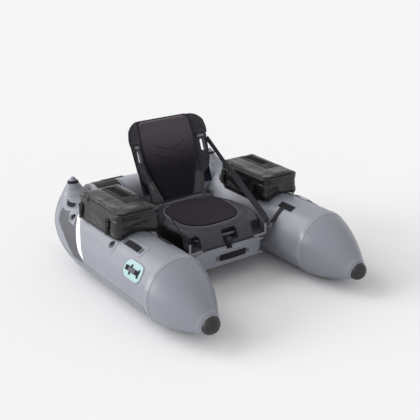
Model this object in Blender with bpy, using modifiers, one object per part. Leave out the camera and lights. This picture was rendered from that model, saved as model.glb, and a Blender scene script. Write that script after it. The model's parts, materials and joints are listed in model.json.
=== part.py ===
# Float tube: two air tubes joined by a seat platform and a cross tube, with a folding seat and two bags.
# Metres, +Z up. The seat faces -Y, X runs across the craft and the floor is z = 0.
import math

import bmesh
import bpy
from mathutils import Matrix, Vector

# Fits
gap = 0.0003
overrun = 0.004
sliver = 0.0004
flat_angle = math.radians(0.1)
merge_distance = 0.00001

# Air tubes: a straight barrel, a drooping cone in front and a raised, blunt tail behind
tube_radius = 0.154
tube_half_spacing = 0.419
tube_segments = 32
seam_y = -0.331
straight_length = 0.597
straight_rings = 2
cone_length = 0.245
cone_rings = 8
cone_full_power = 1.577
nose_radius = 0.043
nose_drop_height = 0.052
nose_drop_power = 1.1
nose_lean_deg = 10.8
tail_half_length = 0.275
tail_overhang = 0.003
tail_height = 0.226
tail_toe_in = 0.006
tail_tip_radius = 0.021
tail_rings = 14
tail_crowding = 1.35
tail_full_power = 1.756
tail_round_power = 0.62

# Rubber nose caps
cap_length = 0.037
cap_dimple_radius = 0.009
cap_dimple_depth = 0.003
cap_steps = 24
cap_rows = 6

# Coated fabric skins on the tubes
keel_thickness = 0.0012
keel_front_length = 0.012
patch_thickness = 0.0012
join_depth = 0.0006
keel_edge_deg = 106.875
keel_tail_length = 0.328
# Carry handles of webbing on their patches: length from the front seam, angle, size
handle_bag_setback = 0.078
handle_front_deg = 27.5
handle_front_length = 0.098
handle_tail_length = 0.269
handle_rear_deg = 36
handle_rear_length = 0.080
handle_width = 0.026
handle_thickness = 0.0016
handle_patch_margin = 0.036
handle_patch_width = 0.062
patch_corner = 0.012
corner_step_shares = (0, 0.5, 0.87, 1)

# D-rings on their patches
ring_bag_setback = 0.037
ring_front_deg = 42.5
ring_tail_length = 0.103
ring_rear_deg = 43
ring_wire_radius = 0.0019
ring_half_width = 0.0125
ring_depth = 0.021
ring_arc_points = 9
ring_clearance = 0.0011
ring_patch_front_length = 0.058
ring_patch_rear_length = 0.110
ring_patch_width = 0.064
loop_width = 0.016
loop_thickness = 0.0012
loop_arc_points = 8

# Straps over the tail tips
tail_strap_setback = 0.016
tail_strap_width = 0.013
tail_strap_reach_deg = 96
tail_strap_step_deg = 12

# Rod strap on its rounded patch, on the left tube only
rod_patch_along = 0.113
rod_patch_deg = 59.9
rod_patch_length = 0.131
rod_patch_width = 0.080
rod_patch_corner = 0.036
rod_strap_length = 0.086
rod_strap_width = 0.020
rod_strap_thickness = 0.004
rod_end_length = 0.012
rod_cross_width = 0.046
rod_cross_setback = 0.030
rod_bar = 0.006
rod_foot_width = 0.038

# Valves
valve_bag_setback = 0.047
valve_tube_deg = -28
valve_platform_setback = 0.080
valve_flange_radius = 0.024
valve_flange_thickness = 0.003
valve_boss_radius = 0.015
valve_boss_height = 0.004
valve_cap_radius = 0.019
valve_cap_height = 0.011
valve_cap_rib_count = 8
valve_cap_rib_depth = 0.0016
valve_segments = 24

# Seat platform between the tubes
web_width = 0.055
platform_length = 0.581
platform_cross_setback = 0.077
platform_bottom_z = 0.091
platform_thickness = 0.091
platform_corner = 0.045
platform_corner_points = 6
platform_edge_round = 0.012
web_thickness = 0.0018
web_front_setback = 0.086
web_rear_setback = 0.165
platform_handle_length = 0.152
platform_handle_height = 0.040
platform_patch_length = 0.206
platform_patch_height = 0.048
platform_handle_z = 0.134

# Cross tube behind the seat
cross_tail_length = 0.226
cross_z = 0.248
cross_radius = 0.100
cross_inset = 0.074
cross_segments = 28

# Seat base: a sewn cover over a frame, with three windows in its front lip
seat_front_setback = 0.010
seat_rear_setback = 0.199
seat_height = 0.100
seat_side_gap = 0.019
seat_tuck = 0.010
seat_tuck_height = 0.014
seat_edge_round = 0.048
seat_edge_points = 5
seat_side_share = 0.60
# Share of the length, of the half width and of the height
seat_section_shares = (
    (0.000, 0.80, 0.12), (0.012, 0.825, 0.30), (0.045, 0.855, 0.60), (0.095, 0.885, 0.81),
    (0.155, 0.925, 0.94), (0.22, 0.96, 1.0), (0.34, 1.0, 1.0), (0.50, 0.985, 1.0),
    (0.68, 0.90, 1.0), (0.86, 0.775, 1.0), (1.0, 0.66, 0.99),
)
window_half_width = 0.044
window_mid_x = 0.019
window_depth = 0.056
window_bottom_z = 0.200
window_top_z = 0.252
window_round = 0.010
corner_window_width = 0.074
corner_window_inset = 0.024
corner_window_top_z = 0.252

# Seat pad let into the top of the base
pad_inset = 0.080
pad_rear_setback = 0.028
pad_front_setback = 0.074
pad_thickness = 0.006
pad_crown = 0.004
pad_power = 2.75
pad_points = 40
pad_groove_share = 0.90
pad_drawn_share = 0.985

# Aluminium seat frame tube
frame_tube_radius = 0.009
frame_front_setback = 0.032
frame_front_z = 0.222
frame_inset = 0.082
frame_rear_overhang = 0.006
frame_rear_z = 0.236
frame_corner = 0.040
frame_corner_points = 5

# Corner brackets, front strap and its buckle
bracket_thickness = 0.006
bracket_inset = 0.020
bracket_leg_width = 0.012
bracket_foot_length = 0.076
bracket_foot_height = 0.012
bracket_height = 0.056
strap_thickness = 0.0016
front_strap_width = 0.030
front_strap_bottom_z = 0.1696
front_strap_rim_deg = 101
front_strap_points = 5
front_buckle_width = 0.040
front_buckle_height = 0.020
front_buckle_depth = 0.007
edge_bevel = 0.0012

# Backrest, leaning back about its hinge at the rear of the seat
hinge_setback = 0.004
hinge_z = 0.290
back_lean_deg = 22.6
back_height = 0.404
back_inset = 0.025
panel_arm_gap = 0.012
panel_thickness = 0.018
panel_crown = 0.004
shell_thickness = 0.014
shell_bottom = 0.016
wing_forward = 0.020
# Share of the back's height and of the half width
shell_outline_shares = (
    (0.04, 0.70), (0.12, 0.745), (0.235, 0.785), (0.30, 0.905), (0.42, 0.965), (0.55, 0.98), (0.67, 0.995),
    (0.80, 1.0), (0.89, 0.96), (0.95, 0.87), (0.985, 0.76), (1.0, 0.60),
)
panel_outline_shares = (
    (0.02, 0.55), (0.11, 0.66), (0.27, 0.80), (0.38, 0.91), (0.50, 0.965), (0.63, 0.985), (0.71, 1.0),
    (0.84, 0.975), (0.93, 0.95), (0.97, 0.88), (0.985, 0.76),
)
# Places across a wing, from its edge to the panel's edge, then across the panel, as shares
wing_place_shares = (1, 0.72, 0.42, 0.18, 0.05, 0)
shell_place_shares = (0.5,)
shell_narrow_share = 0.9
panel_place_shares = (1, 0.94, 0.75, 0.4)
chevron_apex_shares = (0.604, 0.49, 0.361, 0.255, 0.161)
chevron_arm_lengths = (0.104, 0.100, 0.082, 0.050, 0.042)
chevron_rise_deg = 23
chevron_width = 0.0045
chevron_rise = 0.0014
slot_inset = 0.035
slot_mid_up = 0.236
slot_width = 0.018
slot_height = 0.060
slot_end_points = 5
pocket_inset = 0.016
pocket_bottom_up = 0.050
pocket_height = 0.150
pocket_thickness = 0.012
pocket_round = 0.005

# Backrest hinge
arm_platform_inset = 0.044
arm_thickness = 0.008
arm_radius = 0.011
arm_up = 0.150
arm_tip_inner = 0.003
arm_tip_outer = 0.013
arm_points = 9
post_thickness = 0.014
post_radius = 0.017
post_foot_margin = 0.003
pin_radius = 0.005
pin_head_radius = 0.009
pin_head_thickness = 0.003
pin_clearance = 0.0001
hinge_segments = 20

# Side straps from the wings to the front corners
side_strap_outset = 0.0118
side_strap_width = 0.025
side_strap_top_up = 0.264
side_strap_top_forward = 0.011
side_strap_bend_z = 0.248
side_strap_foot_z = 0.222
adjuster_along_share = 0.47
adjuster_length = 0.040
adjuster_width = 0.036
adjuster_thickness = 0.004

# Lashing straps from the front corners to the tubes
lash_width = 0.022
lash_top_deg = -26
lash_foot_margin = 0.0002
lash_foot_z = 0.190
lash_points = 5

# Bags
bag_length = 0.350
bag_width = 0.217
bag_inner_reach = 0.119
bag_cross_gap = 0.090
bag_bottom_z = 0.288
bag_rim_z = 0.374
bag_top_z = 0.412
bag_corner = 0.028
bag_corner_points = 5
bag_edge_round = 0.010
bag_wall = 0.0035
bag_floor = 0.0025
lid_proud = 0.002
lid_wall = 0.004
bag_strap_width = 0.020
bag_strap_front_setback = 0.080
bag_strap_rear_setback = 0.040
bag_strap_top_drop = 0.006
bag_strap_points = 4
bag_strap_foot_length = 0.022
bag_sheet_thickness = 0.0012
bag_sheet_start_deg = -45
bag_sheet_end_deg = 34
bag_sheet_front_inset = 0.072
bag_sheet_rear_inset = 0.028
bag_buckle_length = 0.032
bag_buckle_width = 0.027
bag_buckle_depth = 0.007
bag_buckle_drop = 0.040

# Colours
hull_grey = (0.36, 0.37, 0.42)
keel_grey = (0.34, 0.35, 0.37)
mint = (0.50, 0.66, 0.67)
black = (0.012, 0.012, 0.014)
webbing_black = (0.020, 0.020, 0.023)
cover_grey = (0.075, 0.075, 0.078)
foam_black = (0.028, 0.022, 0.026)
bag_grey = (0.055, 0.055, 0.058)
navy = (0.016, 0.016, 0.030)
plastic_grey = (0.14, 0.14, 0.145)
aluminium_grey = (0.55, 0.56, 0.58)

# Worked out from the sizes above
facet_share = math.cos(math.pi / tube_segments)
tube_z = (tube_radius + gap + keel_thickness) * facet_share
segment_deg = 360 / tube_segments
# The seat, its platform, the bags and the cross tube keep their places from where the tails start.
tail_start_y = seam_y + straight_length
cross_y = tail_start_y + cross_tail_length
cross_half_length = tube_half_spacing - cross_inset
platform_rear_y = cross_y - platform_cross_setback
platform_front_y = platform_rear_y - platform_length
platform_half_width = tube_half_spacing - tube_radius - web_width
web_front_y = platform_front_y + web_front_setback
web_rear_y = platform_rear_y - web_rear_setback
valve_platform_y = platform_rear_y - valve_platform_setback
seat_front_y = platform_front_y + seat_front_setback
seat_length = platform_length - seat_front_setback - seat_rear_setback
seat_rear_y = seat_front_y + seat_length
seat_half_width = tube_half_spacing - tube_radius - seat_side_gap
window_rear_y = seat_front_y + window_depth
corner_window_outer_x = seat_half_width - corner_window_inset
corner_window_inner_x = corner_window_outer_x - corner_window_width
pad_half_width = seat_half_width - pad_inset
pad_half_length = (seat_length - pad_front_setback - pad_rear_setback) / 2
pad_mid_y = seat_front_y + pad_front_setback + pad_half_length
frame_front_y = seat_front_y + frame_front_setback
frame_rear_y = seat_rear_y + frame_rear_overhang
frame_half_width = seat_half_width - frame_inset
bracket_outer_x = seat_half_width - bracket_inset
bracket_inner_x = bracket_outer_x - bracket_foot_length
hinge_y = seat_rear_y + hinge_setback
back_half_width = seat_half_width - back_inset
arm_inner_x = platform_half_width - arm_platform_inset
panel_half_width = arm_inner_x - panel_arm_gap
slot_mid_x = back_half_width - slot_inset
pocket_half_width = back_half_width - pocket_inset
side_strap_x = back_half_width + side_strap_outset
lash_foot_x = bracket_outer_x - bracket_leg_width + lash_foot_margin
bag_inner_x = tube_half_spacing - bag_inner_reach
bag_rear_y = cross_y - cross_radius - bag_cross_gap
bag_front_y = bag_rear_y - bag_length
handle_front_along = bag_front_y - seam_y - handle_bag_setback
ring_front_along = bag_front_y - seam_y + ring_bag_setback
handle_rear_along = straight_length + handle_tail_length
ring_rear_along = straight_length + ring_tail_length
valve_tube_along = bag_rear_y - seam_y + valve_bag_setback
keel_rear_length = straight_length + keel_tail_length
platform_top_z = platform_bottom_z + platform_thickness
seat_floor_z = platform_top_z + gap
seat_top_z = seat_floor_z + seat_height
patch_lift = gap
patch_top_lift = patch_lift + patch_thickness + gap
bag_foot_lift = gap + join_depth
saddle_lift = bag_foot_lift + strap_thickness + gap + tube_radius * (1 - facet_share)
bag_mid_x = bag_inner_x + bag_width / 2
bag_mid_y = bag_front_y + bag_length / 2

for item in list(bpy.data.objects):
    bpy.data.objects.remove(item)

parts = bpy.data.collections.new("float_tube")
cutters = bpy.data.collections.new("cutters")
bpy.context.scene.collection.children.link(parts)
bpy.context.scene.collection.children.link(cutters)


def finish(name, colour, roughness, metallic=0):
    made = bpy.data.materials.new(name)
    made.use_nodes = True
    shader = made.node_tree.nodes["Principled BSDF"]
    shader.inputs["Base Color"].default_value = (*colour, 1)
    shader.inputs["Roughness"].default_value = roughness
    shader.inputs["Metallic"].default_value = metallic
    return made


def add_object(name, mesh, look=None):
    made = bpy.data.objects.new(name, mesh)
    parts.objects.link(made)
    if look:
        made.data.materials.append(finish(f"{name} finish", *look))
    return made


def as_cutter(obj):
    parts.objects.unlink(obj)
    cutters.objects.link(obj)
    obj.hide_render = True
    obj.display_type = "WIRE"
    return obj


def mesh_object(name, bm, look=None, sharp_deg=35):
    mesh = bpy.data.meshes.new(name)
    bm.to_mesh(mesh)
    bm.free()
    mesh.shade_smooth()
    mesh.set_sharp_from_angle(angle=math.radians(sharp_deg))
    return add_object(name, mesh, look)


# The evaluated mesh of an object as a plain mesh object in world space; the first object is removed.
# Flat faces are joined up where a bevel follows.
def baked(obj, look=None, flatten=False):
    bpy.context.view_layer.update()
    graph = bpy.context.evaluated_depsgraph_get()
    mesh = bpy.data.meshes.new_from_object(obj.evaluated_get(graph))
    mesh.transform(obj.matrix_world)
    name = obj.name
    bpy.data.objects.remove(obj)
    bm = bmesh.new()
    bm.from_mesh(mesh)
    bmesh.ops.remove_doubles(bm, verts=bm.verts, dist=merge_distance)
    bmesh.ops.recalc_face_normals(bm, faces=bm.faces)
    if flatten:
        bmesh.ops.dissolve_limit(bm, angle_limit=flat_angle, verts=bm.verts, edges=bm.edges)
    return mesh_object(name, bm, look)


def combine(target, operation, *tools):
    for tool in tools:
        modifier = target.modifiers.new(operation.lower(), "BOOLEAN")
        modifier.operation = operation
        modifier.solver = "EXACT"
        modifier.object = as_cutter(tool)
    return target


def cut(target, *tools):
    return combine(target, "DIFFERENCE", *tools)


# Pieces that are sewn, glued or moulded together, as one solid.
def joined(name, pieces, look):
    first = baked(pieces[0], look)
    first.name = name
    first.active_material.name = f"{name} finish"
    return combine(first, "UNION", *[baked(piece) for piece in pieces[1:]])


# Moves the origin of a solid built in world space onto its axis.
def set_origin(obj, place):
    obj.data.transform(Matrix.Translation(-Vector(place)))
    obj.location = place
    return obj


def loft(name, rings, look=None, sharp_deg=35):
    bm = bmesh.new()
    rows = [[bm.verts.new(point) for point in ring] for ring in rings]
    for low, high in zip(rows, rows[1:]):
        for i, start in enumerate(low):
            after = (i + 1) % len(low)
            bm.faces.new((start, low[after], high[after], high[i]))
    bm.faces.new(rows[0])
    bm.faces.new(rows[-1])
    bmesh.ops.triangulate(bm, faces=bm.faces)
    bmesh.ops.recalc_face_normals(bm, faces=bm.faces)
    return mesh_object(name, bm, look, sharp_deg)


# A turned solid about the matrix's Z axis, from a profile that runs down its outer side.
def turned(name, profile, matrix, steps, look=None):
    mesh = bpy.data.meshes.new(name)
    mesh.from_pydata([(r, 0, h) for r, h in profile], [(i, i + 1) for i in range(len(profile) - 1)], [])
    made = add_object(name, mesh, look)
    made.matrix_world = matrix
    screw = made.modifiers.new("turn", "SCREW")
    screw.steps = steps
    screw.render_steps = steps
    screw.use_merge_vertices = True
    screw.merge_threshold = merge_distance
    return made


def disc_profile(radius, bottom, top, round_off=0):
    if not round_off:
        return [(0, top), (radius, top), (radius, bottom), (0, bottom)]
    return [(0, top), (radius - round_off, top), (radius, top - round_off), (radius, bottom), (0, bottom)]


def box(name, size, matrix, look=None, bevel=0):
    bm = bmesh.new()
    bmesh.ops.create_cube(bm, size=1)
    bmesh.ops.scale(bm, vec=size, verts=bm.verts)
    made = mesh_object(name, bm, look)
    made.matrix_world = matrix
    if bevel:
        rounding = made.modifiers.new("edge", "BEVEL")
        rounding.width = bevel
        rounding.segments = 1
    return made


# A flat plate from an outline in the matrix's XY plane.
def plate(name, outline, thickness, matrix, look=None):
    curve = bpy.data.curves.new(name, "CURVE")
    curve.dimensions = "2D"
    curve.fill_mode = "BOTH"
    curve.extrude = thickness / 2
    turning = sum(a[0] * b[1] - b[0] * a[1] for a, b in zip(outline, [*outline[1:], outline[0]]))
    if turning < 0:
        outline = outline[::-1]
    spline = curve.splines.new("POLY")
    spline.points.add(len(outline) - 1)
    for point, (x, y) in zip(spline.points, outline):
        point.co = (x, y, 0, 1)
    spline.use_cyclic_u = True
    made = add_object(name, curve, look)
    made.matrix_world = matrix
    return made


def pipe(name, points, radius, look=None, cyclic=False, resolution=2):
    curve = bpy.data.curves.new(name, "CURVE")
    curve.dimensions = "3D"
    curve.bevel_depth = radius
    curve.bevel_resolution = resolution
    curve.use_fill_caps = not cyclic
    spline = curve.splines.new("POLY")
    spline.points.add(len(points) - 1)
    for point, place in zip(spline.points, points):
        point.co = (*place, 1)
    spline.use_cyclic_u = cyclic
    return add_object(name, curve, look)


def at(x=0, y=0, z=0):
    return Matrix.Translation((x, y, z))


# Planes for outlines: across the craft, and along it
def across(y):
    return at(y=y) @ Matrix(((1, 0, 0, 0), (0, 0, -1, 0), (0, 1, 0, 0), (0, 0, 0, 1)))


def lengthwise(x):
    return at(x=x) @ Matrix(((0, 0, 1, 0), (1, 0, 0, 0), (0, 1, 0, 0), (0, 0, 0, 1)))


# Turns an outline in XY to face -Y
face_up = Matrix(((1, 0, 0, 0), (0, 0, -1, 0), (0, 1, 0, 0), (0, 0, 0, 1)))


# The outline of a strap: a path in a plane, made thick to its left.
def strap_outline(path, thickness):
    points = [Vector(p) for p in path]
    normals = []
    for i, point in enumerate(points):
        before = (point - points[i - 1]).normalized() if i else None
        after = (points[i + 1] - point).normalized() if i < len(points) - 1 else None
        along = ((before or after) + (after or before)).normalized()
        lean = along.dot(before or after)
        normals.append(Vector((-along.y, along.x)) / lean)
    far = [p + n * thickness for p, n in zip(points, normals)]
    return [tuple(p) for p in points] + [tuple(p) for p in reversed(far)]


def arc(mid_x, mid_y, radius, start_deg, end_deg, count):
    turns = [math.radians(start_deg + (end_deg - start_deg) * i / (count - 1)) for i in range(count)]
    return [(mid_x + radius * math.cos(t), mid_y + radius * math.sin(t)) for t in turns]


def rounded_outline(half_x, half_y, corner, count):
    x, y = half_x - corner, half_y - corner
    quarter = 90
    return [
        point
        for turn, (mid_x, mid_y) in enumerate(((x, y), (-x, y), (-x, -y), (x, -y)))
        for point in arc(mid_x, mid_y, corner, quarter * turn, quarter * (turn + 1), count)
    ]


def read_table(table, value):
    for (low, first), (high, second) in zip(table, table[1:]):
        if value <= high:
            share = max(0, (value - low) / (high - low))
            return first + (second - first) * share
    return table[-1][1]


# Rings of an air tube: length from the front seam, centre, lean and radius.
def tube_ring_list():
    rings = []
    for i in range(cone_rings + 1):
        share = 1 - i / cone_rings
        narrowing = 1 - share**cone_full_power
        rings.append({
            "y": seam_y - cone_length * share,
            "z": tube_z - nose_drop_height * share**nose_drop_power,
            "toe": 0,
            "lean": math.radians(nose_lean_deg) * share,
            "radius": nose_radius + (tube_radius - nose_radius) * narrowing,
        })
    for i in range(1, straight_rings):
        y = seam_y + straight_length * i / straight_rings
        rings.append({"y": y, "z": tube_z, "toe": 0, "lean": 0, "radius": tube_radius})
    for i in range(tail_rings + 1):
        s = 1 - (1 - i / tail_rings) ** tail_crowding
        rise_rate = 2 * s * tail_height
        reach_rate = 2 * (1 - s) * tail_half_length + 2 * s * tail_overhang
        rings.append({
            "y": seam_y + straight_length + 2 * s * (1 - s) * tail_half_length + s * s * (tail_half_length + tail_overhang),
            "z": tube_z + s * s * tail_height,
            "toe": -s * s * tail_toe_in,
            "lean": math.atan2(rise_rate, reach_rate),
            "radius": tail_tip_radius
            + (tube_radius - tail_tip_radius) * (1 - s**tail_full_power) ** tail_round_power,
        })
    length = -sum(math.dist((a["y"], a["z"]), (b["y"], b["z"])) for a, b in zip(rings[:cone_rings], rings[1:]))
    for before, ring in zip([rings[0], *rings], rings):
        length += math.dist((before["y"], before["z"]), (ring["y"], ring["z"]))
        ring["length"] = length
    return rings


tube_rings = tube_ring_list()


def ring_at(length):
    for low, high in zip(tube_rings, tube_rings[1:]):
        if length <= high["length"]:
            break
    share = (length - low["length"]) / (high["length"] - low["length"])
    return {key: low[key] + (high[key] - low[key]) * share for key in low}


# Directions on a tube: out of it, down its side from the top, and along it towards the tail.
def tube_directions(side, length, angle_deg):
    lean = ring_at(length)["lean"]
    turn = math.radians(angle_deg)
    out = Vector((side * math.sin(turn), -math.cos(turn) * math.sin(lean), math.cos(turn) * math.cos(lean)))
    down = Vector((side * math.cos(turn), math.sin(turn) * math.sin(lean), -math.sin(turn) * math.cos(lean)))
    along = Vector((0, math.cos(lean), math.sin(lean)))
    return out, down, along


def tube_point(side, length, angle_deg, lift=0):
    ring = ring_at(length)
    out = tube_directions(side, length, angle_deg)[0]
    centre = Vector((side * (tube_half_spacing + ring["toe"]), ring["y"], ring["z"]))
    return centre + out * (ring["radius"] + lift)


# A frame on a tube's surface: X down its side, Z out of it.
def tube_frame(side, length, angle_deg, lift=0):
    out, down, along = tube_directions(side, length, angle_deg)
    frame = Matrix((down, along * side, out)).transposed().to_4x4()
    frame.translation = tube_point(side, length, angle_deg, lift)
    return frame


def grid_angles(low, high):
    first = math.floor(low / segment_deg) - 1
    last = math.ceil(high / segment_deg) + 1
    lines = [(i + 0.5) * segment_deg for i in range(first, last)]
    margin = 0.05 * segment_deg
    return [line for line in lines if low + margin < line < high - margin]


# Lengths along a tube from start to end, on its rings between low and high, the same count for every row.
def columns(start, end, low, high):
    inner = [ring["length"] for ring in tube_rings if low + sliver < ring["length"] < high - sliver]
    count = len(inner)
    held = [min(max(v, start + (i + 1) * sliver), end - (count - i) * sliver) for i, v in enumerate(inner)]
    return [start, *held, end]


# A skin that follows a tube, from rows of (length, angle) points.
def skin(name, side, rows, lift, thickness, look=None):
    bm = bmesh.new()
    grid = [[bm.verts.new(tube_point(side, along, angle, lift)) for along, angle in row] for row in rows]
    for low, high in zip(grid, grid[1:]):
        for i in range(len(low) - 1):
            bm.faces.new((low[i], low[i + 1], high[i + 1], high[i]))
    bm.normal_update()
    bm.faces.ensure_lookup_table()
    face = bm.faces[0]
    middle = [value for row in rows[:2] for value in row[:2]]
    along = sum(value[0] for value in middle) / len(middle)
    angle = sum(value[1] for value in middle) / len(middle)
    if face.normal.dot(tube_directions(side, along, angle)[0]) < 0:
        bmesh.ops.reverse_faces(bm, faces=bm.faces)
    bmesh.ops.triangulate(bm, faces=bm.faces)
    made = mesh_object(name, bm, look)
    wall = made.modifiers.new("wall", "SOLIDIFY")
    wall.thickness = thickness
    wall.offset = 1
    return made


# Rows of a rounded patch on a tube.
def patch_rows(along, angle_deg, length, width, corner):
    per_metre = math.degrees(1 / ring_at(along)["radius"])
    half = width / 2
    inner = half - corner
    corner_steps = [inner + corner * share for share in corner_step_shares]
    lines = grid_angles(angle_deg - inner * per_metre, angle_deg + inner * per_metre)
    places = [-v for v in reversed(corner_steps)]
    places += [(line - angle_deg) / per_metre for line in lines]
    places += corner_steps
    low, high = along - length / 2, along + length / 2
    rows = []
    for v in places:
        cut_in = corner - math.sqrt(max(0, corner**2 - max(0, abs(v) - inner) ** 2))
        angle = angle_deg + v * per_metre
        rows.append([(place, angle) for place in columns(low + cut_in, high - cut_in, low, high)])
    return rows


def make_tube(name, side, look=None, lift=0):
    angles = [(i + 0.5) * segment_deg for i in range(tube_segments)]
    rings = [[tube_point(side, ring["length"], angle, lift) for angle in angles] for ring in tube_rings]
    return loft(name, rings, look)


def make_nose_cap(name, side, look):
    ring = tube_rings[0]
    out = Vector((0, -math.cos(ring["lean"]), -math.sin(ring["lean"])))
    centre = Vector((side * tube_half_spacing, ring["y"], ring["z"]))
    frame = Matrix.Translation(centre + out * gap) @ out.to_track_quat("Z", "X").to_matrix().to_4x4()
    profile = [(0, cap_length - cap_dimple_depth)]
    start = math.asin(cap_dimple_radius / nose_radius)
    for i in range(cap_rows + 1):
        turn = start + (math.pi / 2 - start) * i / cap_rows
        profile.append((nose_radius * math.sin(turn), cap_length * math.cos(turn)))
    profile.append((0, 0))
    return turned(name, profile, frame, cap_steps, look)


def make_keel(name, side, look):
    angles = [keel_edge_deg, *grid_angles(keel_edge_deg, 360 - keel_edge_deg), 360 - keel_edge_deg]
    lengths = columns(keel_front_length, keel_rear_length, keel_front_length, keel_rear_length)
    rows = [[(length, angle) for length in lengths] for angle in angles]
    return skin(name, side, rows, gap, keel_thickness, look)


handle_places = {
    "front": (handle_front_along, handle_front_deg, handle_front_length),
    "rear": (handle_rear_along, handle_rear_deg, handle_rear_length),
}


def make_handle(word, side, place, patch_look, webbing_look):
    along, angle, length = handle_places[place]
    width = handle_patch_width * ring_at(along)["radius"] / tube_radius
    rows = patch_rows(along, angle, length + 2 * handle_patch_margin, width, patch_corner)
    skin(f"handle_patch_{place}_{word}", side, rows, patch_lift, patch_thickness, patch_look)
    rows = patch_rows(along, angle, length, handle_width, edge_bevel)
    skin(f"handle_{place}_{word}", side, rows, patch_top_lift + 2 * gap, handle_thickness, webbing_look)


def make_platform_handle(look):
    size = (platform_patch_length, patch_thickness, platform_patch_height)
    y = platform_front_y - gap - patch_thickness / 2
    patch = box("patch", size, at(0, y, platform_handle_z))
    depth = handle_thickness + join_depth
    size = (platform_handle_length, depth, platform_handle_height)
    y = platform_front_y - gap - patch_thickness + join_depth - depth / 2
    webbing = box("webbing", size, at(0, y, platform_handle_z))
    return joined("platform_handle", [patch, webbing], look)


ring_places = {
    "front": (ring_front_along, ring_front_deg, ring_patch_front_length),
    "rear": (ring_rear_along, ring_rear_deg, ring_patch_rear_length),
}
ring_lift = patch_top_lift + ring_clearance + ring_wire_radius


# The bar of a ring lies at the origin of this frame, along its Y axis, and the ring lies along +X.
def ring_frame(side, place):
    along, angle, _ = ring_places[place]
    return tube_frame(side, along, angle, ring_lift)


# A glued patch with the loop of webbing that holds its D-ring.
def make_ring_patch(name, side, place, look):
    along, angle, length = ring_places[place]
    rows = patch_rows(along, angle, length, ring_patch_width, patch_corner)
    patch = skin("patch", side, rows, patch_lift, patch_thickness)
    inner = ring_wire_radius + gap
    outer = inner + loop_thickness
    drop = ring_lift - patch_lift - join_depth / 2
    outline = [(outer, -drop), *arc(0, 0, outer, 0, 180, loop_arc_points), (-outer, -drop)]
    outline += [(-inner, -drop), *arc(0, 0, inner, 180, 0, loop_arc_points), (inner, -drop)]
    loop = plate("loop", outline, loop_width, ring_frame(side, place) @ face_up)
    return joined(name, [patch, loop], look)


def make_d_ring(name, side, place, look):
    bow = arc(0, 0, 1, 90, -90, ring_arc_points)
    points = [(x * ring_depth, y * ring_half_width, 0) for x, y in bow]
    made = pipe(name, points, ring_wire_radius, look, cyclic=True, resolution=1)
    made.matrix_world = ring_frame(side, place)
    return made


def make_tail_strap(name, side, look):
    along = tube_rings[-1]["length"] - tail_strap_setback
    low, high = along - tail_strap_width / 2, along + tail_strap_width / 2
    count = round(2 * tail_strap_reach_deg / tail_strap_step_deg)
    angles = [i * tail_strap_step_deg - tail_strap_reach_deg for i in range(count + 1)]
    rows = [[(place, angle) for place in columns(low, high, low, high)] for angle in angles]
    return skin(name, side, rows, patch_top_lift, strap_thickness, look)


def make_rod_strap(patch_look, strap_look):
    rows = patch_rows(rod_patch_along, rod_patch_deg, rod_patch_length, rod_patch_width, rod_patch_corner)
    skin("rod_strap_patch", -1, rows, patch_lift, patch_thickness, patch_look)
    frame = tube_frame(-1, rod_patch_along, rod_patch_deg, patch_top_lift) @ Matrix.Rotation(math.pi, 4, "Z")
    half = rod_strap_length / 2
    thin = frame @ at(z=rod_strap_thickness / 2)
    thick_place = frame @ at(z=rod_strap_thickness / 2 + join_depth)
    web = box("web", (rod_strap_width, rod_strap_length, rod_strap_thickness), thin, None, edge_bevel)
    end = (rod_strap_width + 2 * join_depth, rod_end_length, rod_strap_thickness)
    foot = (rod_foot_width, rod_bar, rod_strap_thickness)
    cross = (rod_cross_width, rod_bar, rod_strap_thickness)
    pieces = [
        web,
        box("end", end, thick_place @ at(y=half), None, edge_bevel),
        box("foot", foot, thick_place @ at(y=-half), None, edge_bevel),
        box("cross", cross, thick_place @ at(y=half - rod_cross_setback), None, edge_bevel),
    ]
    return joined("rod_strap", pieces, strap_look)


def make_valve(name, cap_name, frame, body_look, cap_look, depth=0):
    boss_top = valve_flange_thickness + valve_boss_height
    profile = [
        (0, boss_top), (valve_boss_radius, boss_top), (valve_boss_radius, valve_flange_thickness),
        (valve_flange_radius, valve_flange_thickness), (valve_flange_radius, -depth), (0, -depth),
    ]
    body = turned(name, profile, frame, valve_segments, body_look)
    outline = []
    count = valve_cap_rib_count * 2
    for i in range(count):
        radius = valve_cap_radius - valve_cap_rib_depth * (i % 2)
        start = 360 * i / count
        outline += arc(0, 0, radius, start + 90 / count, start + 270 / count, 2)
    middle = boss_top + gap + valve_cap_height / 2
    plate(cap_name, outline, valve_cap_height, frame @ at(z=middle), cap_look)
    return body


def make_platform(look):
    half_length = (platform_rear_y - platform_front_y) / 2
    outline = rounded_outline(platform_half_width, half_length, platform_corner, platform_corner_points)
    place = at(0, platform_front_y + half_length, platform_bottom_z + platform_thickness / 2)
    slab = baked(plate("seat_platform", outline, platform_thickness, place), look, flatten=True)
    rounding = slab.modifiers.new("edge", "BEVEL")
    rounding.width = platform_edge_round
    rounding.segments = 3
    rounding.limit_method = "ANGLE"
    rounding.angle_limit = math.radians(60)
    return slab


def make_side_web(name, side, look):
    inner = platform_half_width + gap
    outer = tube_half_spacing - tube_radius - gap
    size = (outer - inner, web_rear_y - web_front_y, web_thickness)
    place = at(side * (inner + outer) / 2, (web_rear_y + web_front_y) / 2, tube_z)
    return box(name, size, place, look)


# A point on the cross tube: the angle runs from its top towards the rear.
def cross_point(angle_deg, lift=0):
    turn = math.radians(angle_deg)
    reach = cross_radius + lift
    return cross_y + reach * math.sin(turn), cross_z + reach * math.cos(turn)


def make_cross_tube(look):
    cross_lift = gap + keel_thickness + gap
    step = 360 / cross_segments
    sections = [
        [(x, *cross_point((i + 0.5) * step)) for i in range(cross_segments)] for x in (-cross_half_length, 0, cross_half_length)
    ]
    made = loft("cross_tube", sections, look)
    return cut(made, make_tube("tail_left", -1, lift=cross_lift), make_tube("tail_right", 1, lift=cross_lift))


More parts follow.
